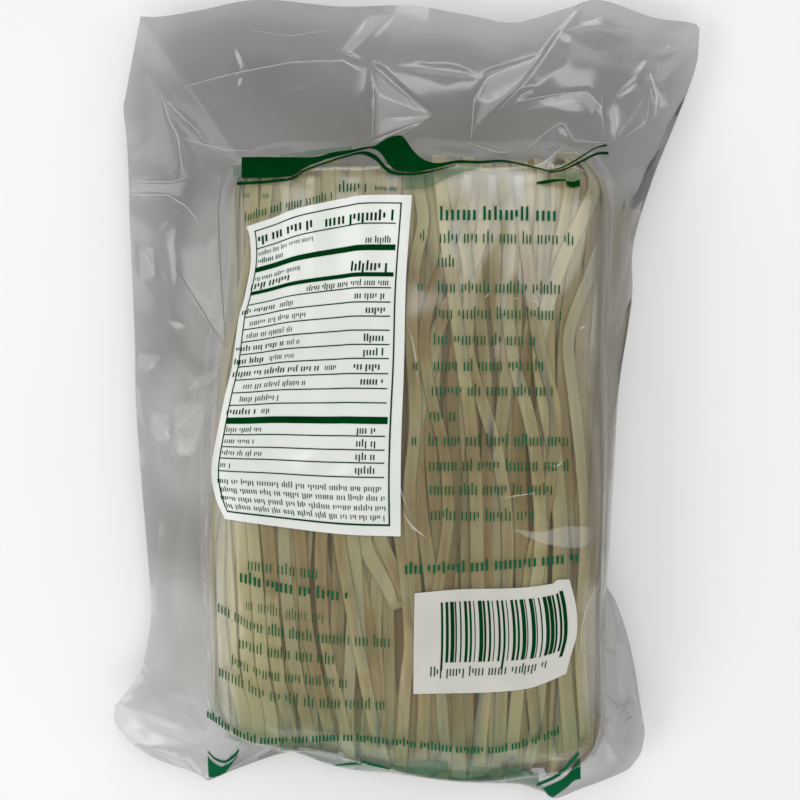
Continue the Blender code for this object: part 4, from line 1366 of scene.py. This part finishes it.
def thin_material(name, fading=False):
    """A see-through layer: a share of it is its colour, less where its points say so."""
    material = grained_material(name, *THIN)
    tree, share = material.node_tree, THIN_SHARES[name]
    if fading:
        share = added(tree, "Math", {0: of_points(tree, "fade"), 1: share}, operation="MULTIPLY")
    parts = {1: added(tree, "BsdfTransparent", {}), 2: tree.nodes["Principled BSDF"].outputs[0]}
    shown(tree, added(tree, "MixShader", {"Fac": share, **parts}))
    return material


def film_material():
    """Clear film: tight over the noodles it only shines; slack, it is hazy too, from grey to white, the
    white partly painted light.
    """
    material, tree, haze = new_material("clear_film")
    amount = of_points(tree, "haze")
    greys = {0: grain(tree, "clear_film", FILM_GRAIN), "Scale": mapped(tree, amount, *HAZE_WHITE, CALM_HAZE)}
    haze_colour_and_light = added(tree, "VectorMath", greys, operation="SCALE")
    feed(tree, haze, {"Base Color": haze_colour_and_light, **HAZE_LOOK})
    clear = added(tree, "BsdfTransparent", {"Color": mapped(tree, amount, *FILM_CLEAR)})
    rough = mapped(tree, amount, *GLOSS_ROUGH)
    gloss = added(tree, "BsdfPrincipled", {"Base Color": GLOSS_COLOUR, "Metallic": 1.0, "Roughness": rough})
    share = mapped(tree, amount, *HAZE_SHARE)
    hazy = added(tree, "MixShader", {"Fac": share, 1: clear, 2: haze.outputs[0]})
    mirrored = added(tree, "Fresnel", {"IOR": FILM_IOR})
    shown(tree, added(tree, "MixShader", {"Fac": mirrored, 1: hazy, 2: gloss}))
    return material


def noodle_material():
    """Dry noodles: streaks along them, pale where they are pale, and light that goes a little way in."""
    material, tree, shader = new_material("rice_noodle")
    colours = grain(tree, "rice_noodle", NOODLE_GRAIN, of_points(tree, "tone"))
    feed(tree, shader, {"Base Color": colours, **NOODLE_LOOK})
    return material


# ======== camera, lights and floor
def build_camera():
    data = bpy.data.cameras.new("camera")
    data.sensor_width = SENSOR_MM
    data.lens = FOCAL_PX * SENSOR_MM / FRAME_PX
    data.clip_start, data.clip_end = 0.01, 20
    bpy.context.scene.camera = linked("camera", data, CAMERA_PLACE)


def soft_light(name, place, aim, size, radiance):
    """A rectangle of even light; its power follows from how bright it is and how large."""
    data = bpy.data.lights.new(name, "AREA")
    data.shape = "RECTANGLE"
    data.size, data.size_y = size
    data.energy = radiance * math.pi * size[0] * size[1]
    light = linked(name, data, place)
    light.rotation_euler = (Vector(aim) - Vector(place)).to_track_quat("-Z", "Y").to_euler()


def build_world():
    """Soft light all round, brighter from over the left and from beyond the top of the bag."""
    world = bpy.data.worlds.new("studio")
    world.use_nodes = True
    tree, way = world.node_tree, Vector(WORLD_BRIGHT_WAY).normalized()
    place = added(tree, "TexCoord", {}, "Generated")
    towards = added(tree, "VectorMath", {0: place, 1: way}, "Value", operation="DOT_PRODUCT")
    strength = mapped(tree, towards, *WORLD_STRENGTH, start=-1.0)
    feed(tree, tree.nodes["Background"], {"Strength": strength, "Color": WORLD_COLOUR})
    bpy.context.scene.world = world


def build_studio():
    build_world()
    for light in LIGHTS:
        soft_light(*light)
    bpy.ops.mesh.primitive_plane_add(size=FLOOR_SIZE, location=(0, 0, -FLOOR_GAP))
    floor = bpy.context.object
    floor.name = "floor"
    floor.data.materials.append(grained_material("pale_floor", *FLOOR))
    bpy.context.scene.view_settings.view_transform = "Standard"


def main():
    build_camera()
    build_studio()
    core = Core()
    noodles = bundle(core)
    forms = film_forms(noodles["noodles_upper"][0])
    trees = [BVHTree.FromPolygons(places.tolist(), faces.tolist()) for places, _, faces in forms.values()]
    build_film(forms)
    build_painted_film_light(trees[0])
    build_noodles(noodles | {"noodle_core": core_form(core)}, trees)
    build_print(*trees)


main()
